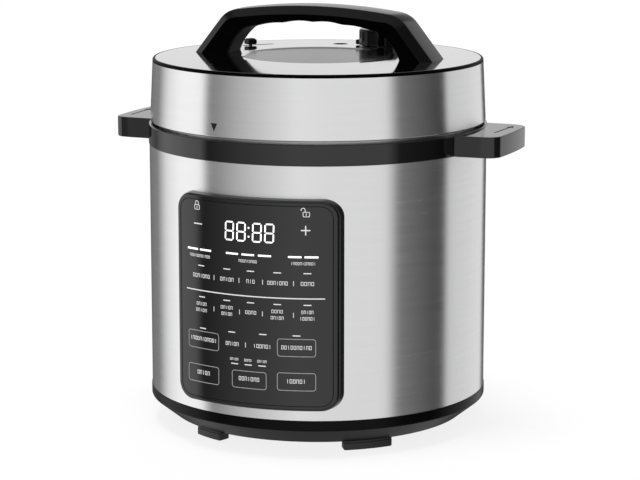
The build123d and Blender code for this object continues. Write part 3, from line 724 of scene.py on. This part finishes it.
def makePanelFace():
    p = panel
    edge = p["border"] + 0.22
    top = p["faceRadius"]
    rings = [(edge, top - 1.1), (edge, top - 0.25), (edge + 0.08, top - 0.07), (edge + 0.3, top)]
    verts, faces = [], []
    loftFaces(verts, faces, [panelLoop(i, r) for i, r in rings], False)
    panelFill(verts, faces, panelLoop(edge + 0.3, top))
    panelFill(verts, faces, panelLoop(edge, top - 1.1))
    face = makePiece("panelFace", verts, faces, finishes["panelBlack"])
    standOn(face, "housing", "panel_face", "control_panel_face")


makePanelHousing()
makePanelFace()


# marks on the panel: across is the arc length from the middle, up is the height above the table
def wrapped(across, up, radius):
    angle = across / panel["faceRadius"]
    return radius * math.sin(angle), -radius * math.cos(angle), up


def stamp(verts, faces, outline):
    low, high = panel["inkLow"], panel["inkHigh"]
    loftFaces(verts, faces, [[wrapped(s, z, radius) for s, z in outline] for radius in (low, high)])


def bar(verts, faces, s0, s1, z0, z1):
    low, high = panel["inkLow"], panel["inkHigh"]
    count = max(1, int((s1 - s0) / 3))
    loops = []
    for k in range(count + 1):
        s = s0 + (s1 - s0) * k / count
        loops.append([wrapped(s, z, r) for z, r in ((z0, low), (z1, low), (z1, high), (z0, high))])
    loftFaces(verts, faces, loops)


def outlineFrame(verts, faces, s0, s1, z0, z1, corner, width):
    # a thin rounded frame
    def loop(inset):
        c = max(corner - inset, 0.3)
        left, right, bottom, top = s0 + inset, s1 - inset, z0 + inset, z1 - inset
        fine = []
        plan = roundCorners([(left, bottom, c), (right, bottom, c), (right, top, c), (left, top, c)], 5)
        for i, (s, z) in enumerate(plan):
            nextS, nextZ = plan[(i + 1) % len(plan)]
            pieces = 8 if abs(nextS - s) > 8 else 1
            for k in range(pieces):
                fine.append((s + (nextS - s) * k / pieces, z + (nextZ - z) * k / pieces))
        return fine
    low, high = panel["inkLow"], panel["inkHigh"]
    rings = ((0, low), (0, high), (width, high), (width, low))
    loops = [[wrapped(s, z, radius) for s, z in loop(inset)] for inset, radius in rings]
    loftFaces(verts, faces, loops, False, True)


def arcStroke(verts, faces, centre, radius, start, end, width, steps=12):
    angles = [start + (end - start) * k / steps for k in range(steps + 1)]
    plan = [polar(radius + width / 2, a) for a in angles]
    plan += [polar(radius - width / 2, a) for a in reversed(angles)]
    stamp(verts, faces, [(centre[0] + s, centre[1] + z) for s, z in plan])


def wordBlocks(verts, faces, s0, s1, middle, tall):
    # a row of plain small frames and strokes, as wide and as tall as a word
    line = 0.13 * tall
    count = max(2, round((s1 - s0) / (0.82 * tall)))
    pitch = (s1 - s0) / count
    low, high = middle - tall / 2, middle + tall / 2
    for k in range(count):
        left = s0 + pitch * k + 0.1 * pitch
        right = s0 + pitch * (k + 1) - 0.14 * pitch
        if (k * 3 + count) % 5 == 1:
            centre = (left + right) / 2
            bar(verts, faces, centre - line / 2, centre + line / 2, low, high)
            continue
        bar(verts, faces, left, left + line, low, high)
        bar(verts, faces, right - line, right, low, high)
        bar(verts, faces, left + line, right - line, high - line, high)
        if (k + count) % 3:
            bar(verts, faces, left + line, right - line, low, low + line)


panelMarks = {
    "dash": (6.0, 0.8),
    "dashRows": [
        (146.9, (-41.3, -16.9, 3.4, 24.8, 48.0)), (122.3, (-40.8, -17.1, 3.3, 24.8, 48.0)),
        (97.5, (-40.0,)), (97.9, (-12.9,)), (98.2, (13.2,)), (98.3, (39.6,)), (73.3, (-10.5, 1.1, 12.5)),
    ],
    "wordRows": [
        # height, tallness and each word's two ends
        (138.9, 3.0, ((-50.1, -32.6), (-23.1, -10.6), (-0.3, 7.1), (16.8, 33.2), (42.7, 53.4))),
        (116.8, 2.6, ((-46.5, -36.0), (-22.8, -11.6), (19.9, 29.4), (43.2, 52.8))),
        (111.8, 2.6, ((-47.2, -35.8), (-22.2, -12.2), (19.4, 30.0), (41.9, 54.1))),
        (114.7, 2.8, ((-1.3, 8.2),)), (89.0, 3.0, ((-53.6, -26.4), (27.6, 51.5))),
        (88.8, 3.0, ((-18.5, -6.6), (5.2, 20.1))), (62.2, 3.2, ((-46.3, -33.4), (-7.2, 10.4))),
        (62.5, 3.2, ((31.4, 46.9),)), (154.5, 2.2, ((-53.2, -32.4), (-6.6, 8.8), (35.1, 54.5))),
        (76.9, 2.0, ((-14.6, -7.1), (-2.4, 3.9), (8.4, 16.5))),
    ],
    "separator": (0.5, 3.8),
    "separators": [
        (139.0, (-28.7, -6.3, 13.2, 37.4)), (114.3, (-29.0, -6.0, 13.0, 37.3)), (88.8, (-1.1,)),
    ],
    "divider": (-57.1, 61.4, 127.3, 0.85),
    "frames": [
        (-55.4, -24.6, 81.2, 95.2), (24.5, 54.5, 81.8, 95.8), (-55.8, -24.7, 54.2, 68.4),
        (-12.9, 16.0, 54.5, 68.4), (24.4, 54.5, 55.0, 69.2),
    ],
    "frame": (2.2, 0.45),
    "minusPlus": [
        (-48.5, -40.1, 179.05, 179.95), (43.15, 50.25, 179.65, 180.55), (46.25, 47.15, 180.6, 183.7),
        (46.25, 47.15, 176.5, 179.6),
    ],
    "padlocks": ((-45.1, 0.0), (47.2, -2.4)), "lockLow": 190.4, "lockHigh": 194.4, "hoop": 1.55,
    "hoopHigh": 195.7,
    "progress": [
        (-55.4, -44.5), (-42.4, -31.4), (-17.5, -7.0), (-4.0, 6.4), (9.6, 20.0), (33.2, 43.5), (45.8, 56.4),
    ],
    "progressHigh": 159.5, "progressTall": 1.4,
    "digitPlaces": [(-18.5, -10.7), (-8.5, -0.7), (4.6, 12.4), (14.5, 22.3)],
    "digitLow": 169.5, "digitHigh": 184.6, "digitLean": 0.5, "segment": 1.15, "segmentGap": 0.36,
    "colon": 2.0, "colonHigh": (173.6, 180.4), "colonDot": 1.3,
}


def sevenSegment(verts, faces, s0, s1, z0, z1):
    # all seven bars of one digit, each with pointed ends
    h = panelMarks["segment"] / 2
    gap = panelMarks["segmentGap"]
    middle = (z0 + z1) / 2

    def segment(a, b, at, upright):
        corners = [(a, at), (a + h, at - h), (b - h, at - h), (b, at), (b - h, at + h), (a + h, at + h)]
        if upright:
            corners = [(x, along) for along, x in reversed(corners)]
        stamp(verts, faces, [(s + (z - z0) / (z1 - z0) * panelMarks["digitLean"], z) for s, z in corners])

    for z in (z0 + h, middle, z1 - h):
        segment(s0 + h + gap, s1 - h - gap, z, False)
    for s in (s0 + h, s1 - h):
        for low, high in ((z0 + h, middle), (middle, z1 - h)):
            segment(low + gap, high - gap, s, True)


def centredBar(verts, faces, s, z, size):
    bar(verts, faces, s - size[0] / 2, s + size[0] / 2, z - size[1] / 2, z + size[1] / 2)


def padlock(verts, faces, middle, swing):
    # a shut or an open padlock, drawn in plain strokes
    m = panelMarks
    low, high, hoopHigh, radius = m["lockLow"], m["lockHigh"], m["hoopHigh"], m["hoop"]
    outlineFrame(verts, faces, middle - 2.7, middle + 2.7, low, high, 0.8, 0.5)
    bar(verts, faces, middle - 0.3, middle + 0.3, low + 1.2, low + 2.8)
    centre = middle + swing
    arcStroke(verts, faces, (centre, hoopHigh), radius, 0, 200 if swing else 180, 0.55)
    for side in (1,) if swing else (1, -1):
        centredBar(verts, faces, centre + side * radius, (high + hoopHigh) / 2, (0.56, hoopHigh - high))


def markPiece(name, draw, finish, slotName):
    verts, faces = [], []
    draw(verts, faces)
    piece = makePiece(name, verts, faces, finishes[finish], 20)
    standOn(piece, "housing", slotName)


def drawPrint(verts, faces):
    m = panelMarks
    for z, places in m["dashRows"]:
        for s in places:
            centredBar(verts, faces, s, z, m["dash"])
    for z, tall, words in m["wordRows"]:
        for s0, s1 in words:
            wordBlocks(verts, faces, s0, s1, z, tall)
    for z, places in m["separators"]:
        for s in places:
            centredBar(verts, faces, s, z, m["separator"])
    s0, s1, z, tall = m["divider"]
    bar(verts, faces, s0, s1, z - tall / 2, z + tall / 2)
    for stroke in m["minusPlus"]:
        bar(verts, faces, *stroke)
    for middle, swing in m["padlocks"]:
        padlock(verts, faces, middle, swing)


def drawFrames(verts, faces):
    for frameBox in panelMarks["frames"]:
        outlineFrame(verts, faces, *frameBox, *panelMarks["frame"])


def drawLights(verts, faces):
    m = panelMarks
    for s0, s1 in m["digitPlaces"]:
        sevenSegment(verts, faces, s0, s1, m["digitLow"], m["digitHigh"])
    for z in m["colonHigh"]:
        centredBar(verts, faces, m["colon"], z, (m["colonDot"], m["colonDot"]))
    middle, half = m["progressHigh"], m["progressTall"] / 2
    for s0, s1 in m["progress"]:
        bar(verts, faces, s0, s1, middle - half, middle + half)


def makePanelMarks():
    # the print and the frames glow with painted light, the digits with the display's own light
    markPiece("panelPrint", drawPrint, "ink", "panel_face")
    markPiece("panelFrames", drawFrames, "frameInk", "panel_face")
    markPiece("panelDigits", drawLights, "digits", "display_glass")


makePanelMarks()
print("control panel made")

# lid
lid = {
    "bandLow": 246.2, "bandHigh": 294.2, "radiusLow": 135.7, "radiusHigh": 133.3, "sheet": 0.8,
    "high": 296.8, "plateRadius": 131.2, "dome": 1.0, "discRadius": 59.5, "discDepth": 0.7,
    "valve": (91.5, 78.4), "float": (90.4, 100.2), "valveHole": 12.3, "floatHole": 6.3,
    "slotRadius": 97.0, "slot": (135.0, 152.7), "slotWidth": 4.6,
}


def makeLidBand():
    low, high = lid["bandLow"], lid["bandHigh"]
    outer, top, sheet = lid["radiusLow"], lid["radiusHigh"], lid["sheet"]
    outline = roundCorners([
        (outer - 3.5, low, 0), (outer, low, 1.3), (top, high, 0), (top - sheet, high, 0),
        (outer - sheet, low + sheet, 0.6), (outer - 3.5, low + sheet, 0),
    ])
    band = turn("lidSideBand", outline, finishes["bandSteel"], 300)
    standOn(band, "lid", "brushed_steel", "lid_side_band")


def makeRimTrim():
    r, low, high = lid["radiusHigh"], lid["bandHigh"], lid["high"]
    inner = lid["plateRadius"] - 8
    outline = roundCorners([
        (inner, low + 0.02, 0), (r + 0.02, low + 0.02, 0.3), (r, low + 1.4, 0.8), (r - 0.9, high, 0.7),
        (lid["plateRadius"] + 0.1, high, 0.2), (lid["plateRadius"] + 0.1, high - 0.8, 0),
        (inner, high - 0.8, 0),
    ])
    trim = turn("lidRimTrim", outline, finishes["gripBlack"], 300)
    standOn(trim, "lid", "gloss_black", "lid_rim_trim")


def plateTop(radius):
    crest = lid["discRadius"] + 8.5
    share = (radius - crest) / (lid["plateRadius"] - crest)
    return lid["high"] + lid["dome"] * (1 - share)


def makeTopPlate():
    step, high = lid["discRadius"], lid["high"]
    crest = high + lid["dome"]
    discHigh = crest - 0.1 - lid["discDepth"]
    top = [(lid["plateRadius"], high, 0.4)]
    top += [(radius, plateTop(radius), 0) for radius in (128, 116, 104, 92, 80)]
    top += [(step + 8.5, crest, 3), (step + 2.2, crest - 0.1, 1.6)]
    top += [(step - 0.6, discHigh, 1.6), (0, discHigh, 0)]
    under = [(radius, z - lid["sheet"], 0) for radius, z, _ in reversed(top)]
    plate = turn("lidTopPlate", roundCorners(top + under), finishes["plateSteel"], 300)
    plate.data.materials.append(finishes["discSteel"])
    verts, faces = [], []
    cylinderParts(verts, faces, polar(*lid["valve"]), lid["valveHole"], high - 5, high + 5, 64)
    cylinderParts(verts, faces, polar(*lid["float"]), lid["floatHole"], high - 5, high + 5, 48)
    half = lid["slotWidth"] / 2
    middle = lid["slotRadius"]
    arcParts(verts, faces, middle - half, middle + half, high - 5, high + 5, *lid["slot"])
    cut(plate, makePiece("cutter", verts, faces, None))
    # faces inside the disc take the second, darker steel: painted shade
    for face in plate.data.polygons:
        centre = face.center
        face.material_index = 1 if math.hypot(centre.x, centre.y) < (step + 0.4) * mm else 0
    standOn(plate, "lid", "polished_steel", "lid_top_plate")


slotLips = {"gap": 1.5, "deep": 1.0, "below": 0.04}


def makeSlotLips():
    # two soft lips close the slot on both sides of the slider's neck; their black, with no reflection, is
    # painted shade for the dark slot
    verts, faces = [], []
    middle, half = lid["slotRadius"], lid["slotWidth"] / 2 - 0.05
    for near, far in ((middle - half, middle - slotLips["gap"]), (middle + slotLips["gap"], middle + half)):
        high = plateTop(far) - slotLips["below"]
        arcParts(verts, faces, near, far, high - slotLips["deep"], high, *lid["slot"], 16)
    lips = makePiece("slotLips", verts, faces, finishes["hollowBlack"])
    standOn(lips, "lid", "satin_black")


lockMark = {"angle": -13.7, "middle": 254.0, "width": 6.2, "tall": 6.2}


def makeLockMark():
    # the pointer that lines the lid up with the base
    verts, faces = [], []
    loops = []
    for lift in (-0.3, 0.08):
        loop = []
        for across, up in ((0, -0.5), (0.5, 0.5), (0.17, 0.5), (-0.17, 0.5), (-0.5, 0.5)):
            z = lockMark["middle"] + up * lockMark["tall"]
            share = (z - lid["bandLow"]) / (lid["bandHigh"] - lid["bandLow"])
            radius = lid["radiusLow"] - (lid["radiusLow"] - lid["radiusHigh"]) * share + lift
            angle = lockMark["angle"] + math.degrees(across * lockMark["width"] / radius)
            x, y = polar(radius, angle - 90)
            loop.append((x, y, z))
        loops.append(loop)
    loftFaces(verts, faces, loops)
    mark = makePiece("alignMark", verts, faces, finishes["darkInk"])
    standOn(mark, "lid", "brushed_steel")


makeLidBand()
makeRimTrim()
makeTopPlate()
makeSlotLips()
makeLockMark()
print("lid made")

# lid handle
handle = {
    "footOut": 103.5, "shoulderOut": 75.0, "shoulderHigh": 332.5, "topHigh": 338.5, "low": 296.7,
    "footIn": 74.6, "legTopIn": 60.0, "legTopHigh": 318.1, "underHigh": 326.1, "topHalf": 13.6,
    "ridgeHalf": 20.0, "ridgeDepth": 7.0, "underHalf": 14.6, "fingerPitch": 26.0, "fingerDepth": 1.0,
    "fingerEnd": 56, "shoulderRound": 9.0, "legBend": (71.6, 307.0), "legTop": (62.6, 315.0),
    "underBend": (59.0, 318.6), "underStart": 53.5,
}


def bezier(a, b, c, count):
    points = []
    for k in range(count + 1):
        t = k / count
        u = 1 - t
        points.append(tuple(u * u * a[i] + 2 * u * t * b[i] + t * t * c[i] for i in (0, 1)))
    return points


def archHigh(x):
    h = handle
    rise = h["topHigh"] - h["shoulderHigh"]
    radius = (h["shoulderOut"] ** 2 + rise ** 2) / (2 * rise)
    return h["topHigh"] - radius + math.sqrt(radius ** 2 - x * x)


def underHigh(x):
    h = handle
    drop = h["underHigh"] - h["legTopHigh"]
    fade = max(0.0, 1 - (abs(x) / h["fingerEnd"]) ** 4)
    wave = h["fingerDepth"] * (1 - abs(math.sin(math.pi * x / h["fingerPitch"]))) * fade
    return h["underHigh"] - drop * (x / h["legTopIn"]) ** 2 - wave


def handleLines():
    # the outer and the inner line of the right half, from the foot to the middle, station by station
    h = handle
    foot, shoulder = Vector((h["footOut"], h["low"])), Vector((h["shoulderOut"], h["shoulderHigh"]))
    legEnd = shoulder + (foot - shoulder).normalized() * h["shoulderRound"]
    archStart = h["shoulderOut"] - h["shoulderRound"]
    outer = [tuple(foot.lerp(legEnd, k / 7)) for k in range(7)]
    outer += bezier(tuple(legEnd), tuple(shoulder), (archStart, archHigh(archStart)), 8)[:-1]
    outer += [(archStart * (1 - k / 30), archHigh(archStart * (1 - k / 30))) for k in range(31)]
    start = h["underStart"]
    inner = bezier((h["footIn"], h["low"]), h["legBend"], h["legTop"], 7)[:-1]
    inner += bezier(h["legTop"], h["underBend"], (start, underHigh(start)), 8)[:-1]
    inner += [(start * (1 - k / 30), underHigh(start * (1 - k / 30))) for k in range(31)]
    return outer, inner


def handleStations():
    outer, inner = handleLines()
    outer += [(-x, z) for x, z in reversed(outer[:-1])]
    inner += [(-x, z) for x, z in reversed(inner[:-1])]
    stations = []
    for i, point in enumerate(outer):
        ahead = Vector(outer[min(i + 1, len(outer) - 1)]) - Vector(outer[max(i - 1, 0)])
        inward = Vector((-ahead.y, ahead.x)).normalized()
        o, n = Vector(point), Vector(inner[i])
        if inward.dot(n - o) < 0:
            inward = -inward
        depth = inward.dot(n - o)
        stations.append((o, n, depth))
    return stations


def handleSection(station, section):
    o, n, depth = station
    return [(*(o.lerp(n, d / depth)), y) for y, d in section]


def handlePart(name, node, shape, finish):
    loops = []
    for station in handleStations():
        section = roundCorners(shape(station[2]), 4)
        loops.append([(x, y, z) for x, z, y in handleSection(station, section)])
    part = loft(name, loops, finishes[finish], 26)
    standOn(part, "lid", "handle_black", node)


def bothSides(half):
    return half + [(-y, d, r) for y, d, r in reversed(half) if y]


def coverShape(depth):
    h = handle
    top, ridge, d = h["topHalf"], h["ridgeHalf"], h["ridgeDepth"]
    return bothSides([
        (0, 0, 0), (top * 0.6, 0.08, 0), (top, 0.35, 1.6), (ridge, d - 0.25, 0.5), (ridge - 0.45, d, 0.15),
        (ridge - 4, d, 0), (0, d, 0),
    ])


def gripShape(depth):
    h = handle
    ridge, under, d = h["ridgeHalf"] - 0.25, h["underHalf"], h["ridgeDepth"]
    return bothSides([
        (0, d + 0.02, 0), (ridge - 0.8, d + 0.02, 0.1), (ridge - 0.3, d + 0.35, 0.2),
        (under + 1.2, depth - 0.8, 2.2), (under - 4, depth, 2.5), (0, depth, 0),
    ])


handlePart("handleCover", "handle_cover", coverShape, "handleBlack")
handlePart("handleGrip", "handle_grip", gripShape, "gripBlack")
print("lid handle made")

# fittings on the lid
steamCap = {
    "radius": 16.5, "low": 298.0, "high": 311.6, "flutes": 14, "fluteDepth": 0.35, "bore": 3.8,
    "tab": (15.6, 19.5, 4, 4),
}


def makeSteamCap():
    c = steamCap
    place = polar(*lid["valve"])

    def flute(radius, height, angle):
        if radius < c["radius"] - 1.2 or height > c["high"] - 1.4 or height < c["low"] + 0.4:
            return 0
        return -c["fluteDepth"] * abs(math.sin(angle * c["flutes"] / 2))

    outline = roundCorners([
        (0, c["low"] + 7, 0), (c["bore"], c["low"] + 7, 0), (c["bore"], c["low"] + 3, 0.3),
        (c["radius"] - 2.5, c["low"] + 3, 0.4), (c["radius"] - 2.5, c["low"], 0.4),
        (c["radius"], c["low"], 0.5), (c["radius"], c["low"] + 1.5, 0), (c["radius"], c["high"] - 3.5, 0),
        (c["radius"], c["high"], 2.0), (c["radius"] - 4.5, c["high"], 0.6),
        (c["radius"] - 5.1, c["high"] - 0.5, 0.4), (0, c["high"] - 0.5, 0),
    ], 6)
    cap = turn("steamCap", outline, finishes["capBlack"], 168, place, 40, flute)
    verts, faces = [], []
    near, far, half, tall = c["tab"]
    start = (place[0] - far, place[1] - half, c["low"])
    end = (place[0] - near, place[1] + half, c["low"] + tall)
    boxParts(verts, faces, start, end, 0, (0, 0), 0.9)
    tab = makePiece("steamCapTab", verts, faces, finishes["handleBlack"])
    standOn(cap, "steam_valve", "handle_black", "steam_valve_cap")
    standOn(tab, "steam_valve", "handle_black")


floatGuide = {"outer": 6.1, "bore": 3.35, "low": 263.5, "rimHigh": 297.5, "dish": 2.6}


def makeFloatGuide():
    g = floatGuide
    top = g["rimHigh"]
    outline = roundCorners([
        (g["bore"], g["low"], 0), (g["outer"] + 3, g["low"], 0.3), (g["outer"] + 3, g["low"] + 2, 0.3),
        (g["outer"], g["low"] + 2, 0.5), (g["outer"], top, 0.15), (g["outer"] - 0.7, top, 0.2),
        (g["outer"] - 1.0, top - g["dish"], 0.4), (g["bore"], top - g["dish"] - 0.4, 0.2),
    ])
    # the guide's dish is painted shade: black with no reflection for the dark hole
    guide = turn("floatGuide", outline, finishes["hollowBlack"], 72, polar(*lid["float"]))
    standOn(guide, "lid", "satin_black", "float_guide")


slider = {
    "angle": 148.0, "radius": 97.0, "low": 292.3, "knobLow": 298.2, "knobHigh": 303.2, "knobHalf": 4.2,
    "ribPitch": 2.2, "neckHalf": 0.7,
}


def makeSlider():
    s = slider
    verts, faces = [], []
    r, half = s["radius"], s["knobHalf"]
    low, knobLow, high = s["low"], s["knobLow"], s["knobHigh"]
    blocks = [((r - 4, -half, knobLow), (r + 4, half, high - 0.6), 1.1)]
    for y in (-s["ribPitch"], 0, s["ribPitch"]):
        blocks.append(((r - 3, y - 0.55, high - 1.0), (r + 3, y + 0.55, high), 0.3))
    neck = s["neckHalf"]
    blocks.append(((r - 1.3, -neck, low + 1), (r + 1.3, neck, knobLow + 1), 0.0))
    blocks.append(((r - 6, -5, low), (r + 6, 5, low + 2), 0.4))
    for start, end, edge in blocks:
        boxParts(verts, faces, start, end, s["angle"], (0, 0), edge)
    piece = makePiece("releaseSlider", verts, faces, finishes["handleBlack"])
    standOn(piece, "release", "handle_black", "release_slider")


spring = {"wire": 0.6, "turns": 6, "flatEnd": 0.8, "keep": 0.84}


def makeSpring():
    low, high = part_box("sensor_spring")
    wire, turns, flatEnd = spring["wire"], spring["turns"], spring["flatEnd"]
    radius = (high[0] - low[0]) / 2 / mm - wire
    bottom, top = low[2] / mm + wire, high[2] / mm - wire
    steps = turns * 28
    loops = []
    for k in range(steps + 1):
        t = k / steps
        rise = min(1.0, max(0.0, (t * turns - flatEnd) / (turns - 2 * flatEnd)))
        angle = 2 * math.pi * turns * t
        z = bottom + (top - bottom) * rise
        loop = []
        for j in range(10):
            a = 2 * math.pi * j / 10
            r = radius + wire * math.cos(a)
            loop.append((r * math.cos(angle), r * math.sin(angle), z + wire * math.sin(a)))
        loops.append(loop)
    piece = loft("sensorSpring", loops, finishes["screwMetal"], 60)
    standOn(piece, "housing", "screw_steel", "sensor_spring")
    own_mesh(piece)


makeSteamCap()
makeFloatGuide()
makeSlider()
makeSpring()
print("fittings made")

# floor and light
studio = {
    "bands": [
        (-180, 0.28), (-152, 0.44), (-141, 0.45), (-124, 0.86), (-108, 0.95), (-86, 0.95), (-79, 0.44),
        (-56, 0.67), (-35, 0.79), (-14, 0.88), (10, 0.86), (47, 0.85), (56, 0.42), (95, 0.18), (99, 0.77),
        (140, 0.83), (152, 0.83), (156, 0.3), (180, 0.3),
    ],
    "bandSpread": [(0, 0.0), (0.10, 0.0), (0.15, 1.0), (0.915, 1.0), (0.94, 0.0), (1, 0.0)],
    "steelTone": 0.80, "bandTop": 0.5, "bandEdge": 0.06,
    "sky": 0.83, "ceiling": 0.27, "skyEdge": (0.25, 0.31),
    "zenith": 0.72, "zenithEdge": (0.68, 0.88),
    "under": 0.5, "underEdge": (-0.62, -0.45),
    "sunPower": 1.6, "sunSize": 20.0, "sunTilt": (5, -4),
    "floorSize": 25.0, "floorTone": 0.16, "floorGlow": 0.84,
}


def linear(value):
    return ((value + 0.055) / 1.055) ** 2.4


def ramp(kit, factor, stops):
    node = kit.add("ValToRGB", {"Fac": factor})
    elements = node.color_ramp.elements
    while len(elements) < len(stops):
        elements.new(0.5)
    for element, (place, value) in zip(elements, stops):
        element.position = place
        element.color = (value, value, value, 1)
    return node.outputs[0]


def makeWorld():
    # bands of light and shade stand round the object, as large cards do in a studio, under a white ceiling
    world = bpy.data.worlds.new("studio")
    scene.world = world
    kit = Nodes(world)
    where = kit.add("TexCoord").outputs["Generated"]
    facing = (0, 0, -math.radians(cameraView["turn"]))
    spun = kit.add("Mapping", {"Vector": where, "Rotation": facing}).outputs[0]
    parts = kit.add("SeparateXYZ", {0: spun})
    angle = kit.math("ARCTAN2", parts.outputs[0], kit.math("MULTIPLY", parts.outputs[1], -1.0))
    share = kit.span(angle, -math.pi, math.pi, 0.0, 1.0)
    bandStops = [((a + 180) / 360, linear(v) / studio["steelTone"]) for a, v in studio["bands"]]
    bands = ramp(kit, share, bandStops)
    tops = ramp(kit, share, studio["bandSpread"])
    above = kit.math("SUBTRACT", parts.outputs[2], kit.math("MULTIPLY", tops, studio["bandTop"]))
    rise = kit.span(parts.outputs[2], *studio["skyEdge"], 0.0, 1.0, True)
    sky = kit.mixColour(rise, rgb((studio["sky"],) * 3), rgb((studio["ceiling"],) * 3))
    overhead = kit.span(parts.outputs[2], *studio["zenithEdge"], 0.0, 1.0, True)
    sky = kit.mixColour(overhead, sky, rgb((studio["zenith"],) * 3))
    skyShare = kit.span(above, -studio["bandEdge"], studio["bandEdge"], 0.0, 1.0, True)
    mixed = kit.mixColour(skyShare, bands, sky)
    sunk = kit.span(parts.outputs[2], *studio["underEdge"], 0.0, 1.0, True)
    mixed = kit.mixColour(sunk, rgb((studio["under"],) * 3), mixed)
    background = kit.add("Background", {"Color": mixed, "Strength": 1.0})
    kit.add("OutputWorld", {"Surface": background.outputs[0]})


def makeFloor():
    mesh = bpy.data.meshes.new("floor")
    size = studio["floorSize"]
    corners = [(-size, -size, 0), (size, -size, 0), (size, size, 0), (-size, size, 0)]
    mesh.from_pydata(corners, [], [(0, 1, 2, 3)])
    floor = bpy.data.objects.new("floor", mesh)
    scene.collection.objects.link(floor)
    material = bpy.data.materials.new("floorPaint")
    kit = Nodes(material)
    where = kit.add("TexCoord").outputs["Object"]
    cloud = kit.add("TexNoise", {"Vector": where, "Scale": 1.5, "Detail": 2.0}).outputs[0]
    tone = studio["floorTone"]
    paint = kit.mixColour(cloud, rgb((tone,) * 3, 0.995), rgb((tone,) * 3, 1.005))
    inputs = {"Base Color": paint, "Roughness": 0.9, "Specular IOR Level": 0.1}
    inputs["Emission Color"] = rgb((1.0, 1.0, 1.0))
    inputs["Emission Strength"] = studio["floorGlow"]
    kit.finish(kit.add("BsdfPrincipled", inputs))
    mesh.materials.append(material)
    floor.visible_glossy = False


def makeSun():
    data = bpy.data.lights.new("ceilingLight", "SUN")
    data.energy = studio["sunPower"]
    data.angle = math.radians(studio["sunSize"])
    sun = bpy.data.objects.new("ceilingLight", data)
    sun.rotation_euler = (*[math.radians(a) for a in studio["sunTilt"]], 0)
    sun.visible_glossy = False
    scene.collection.objects.link(sun)


makeWorld()
makeFloor()
makeSun()
scene.view_settings.view_transform = "Standard"
print("studio ready")
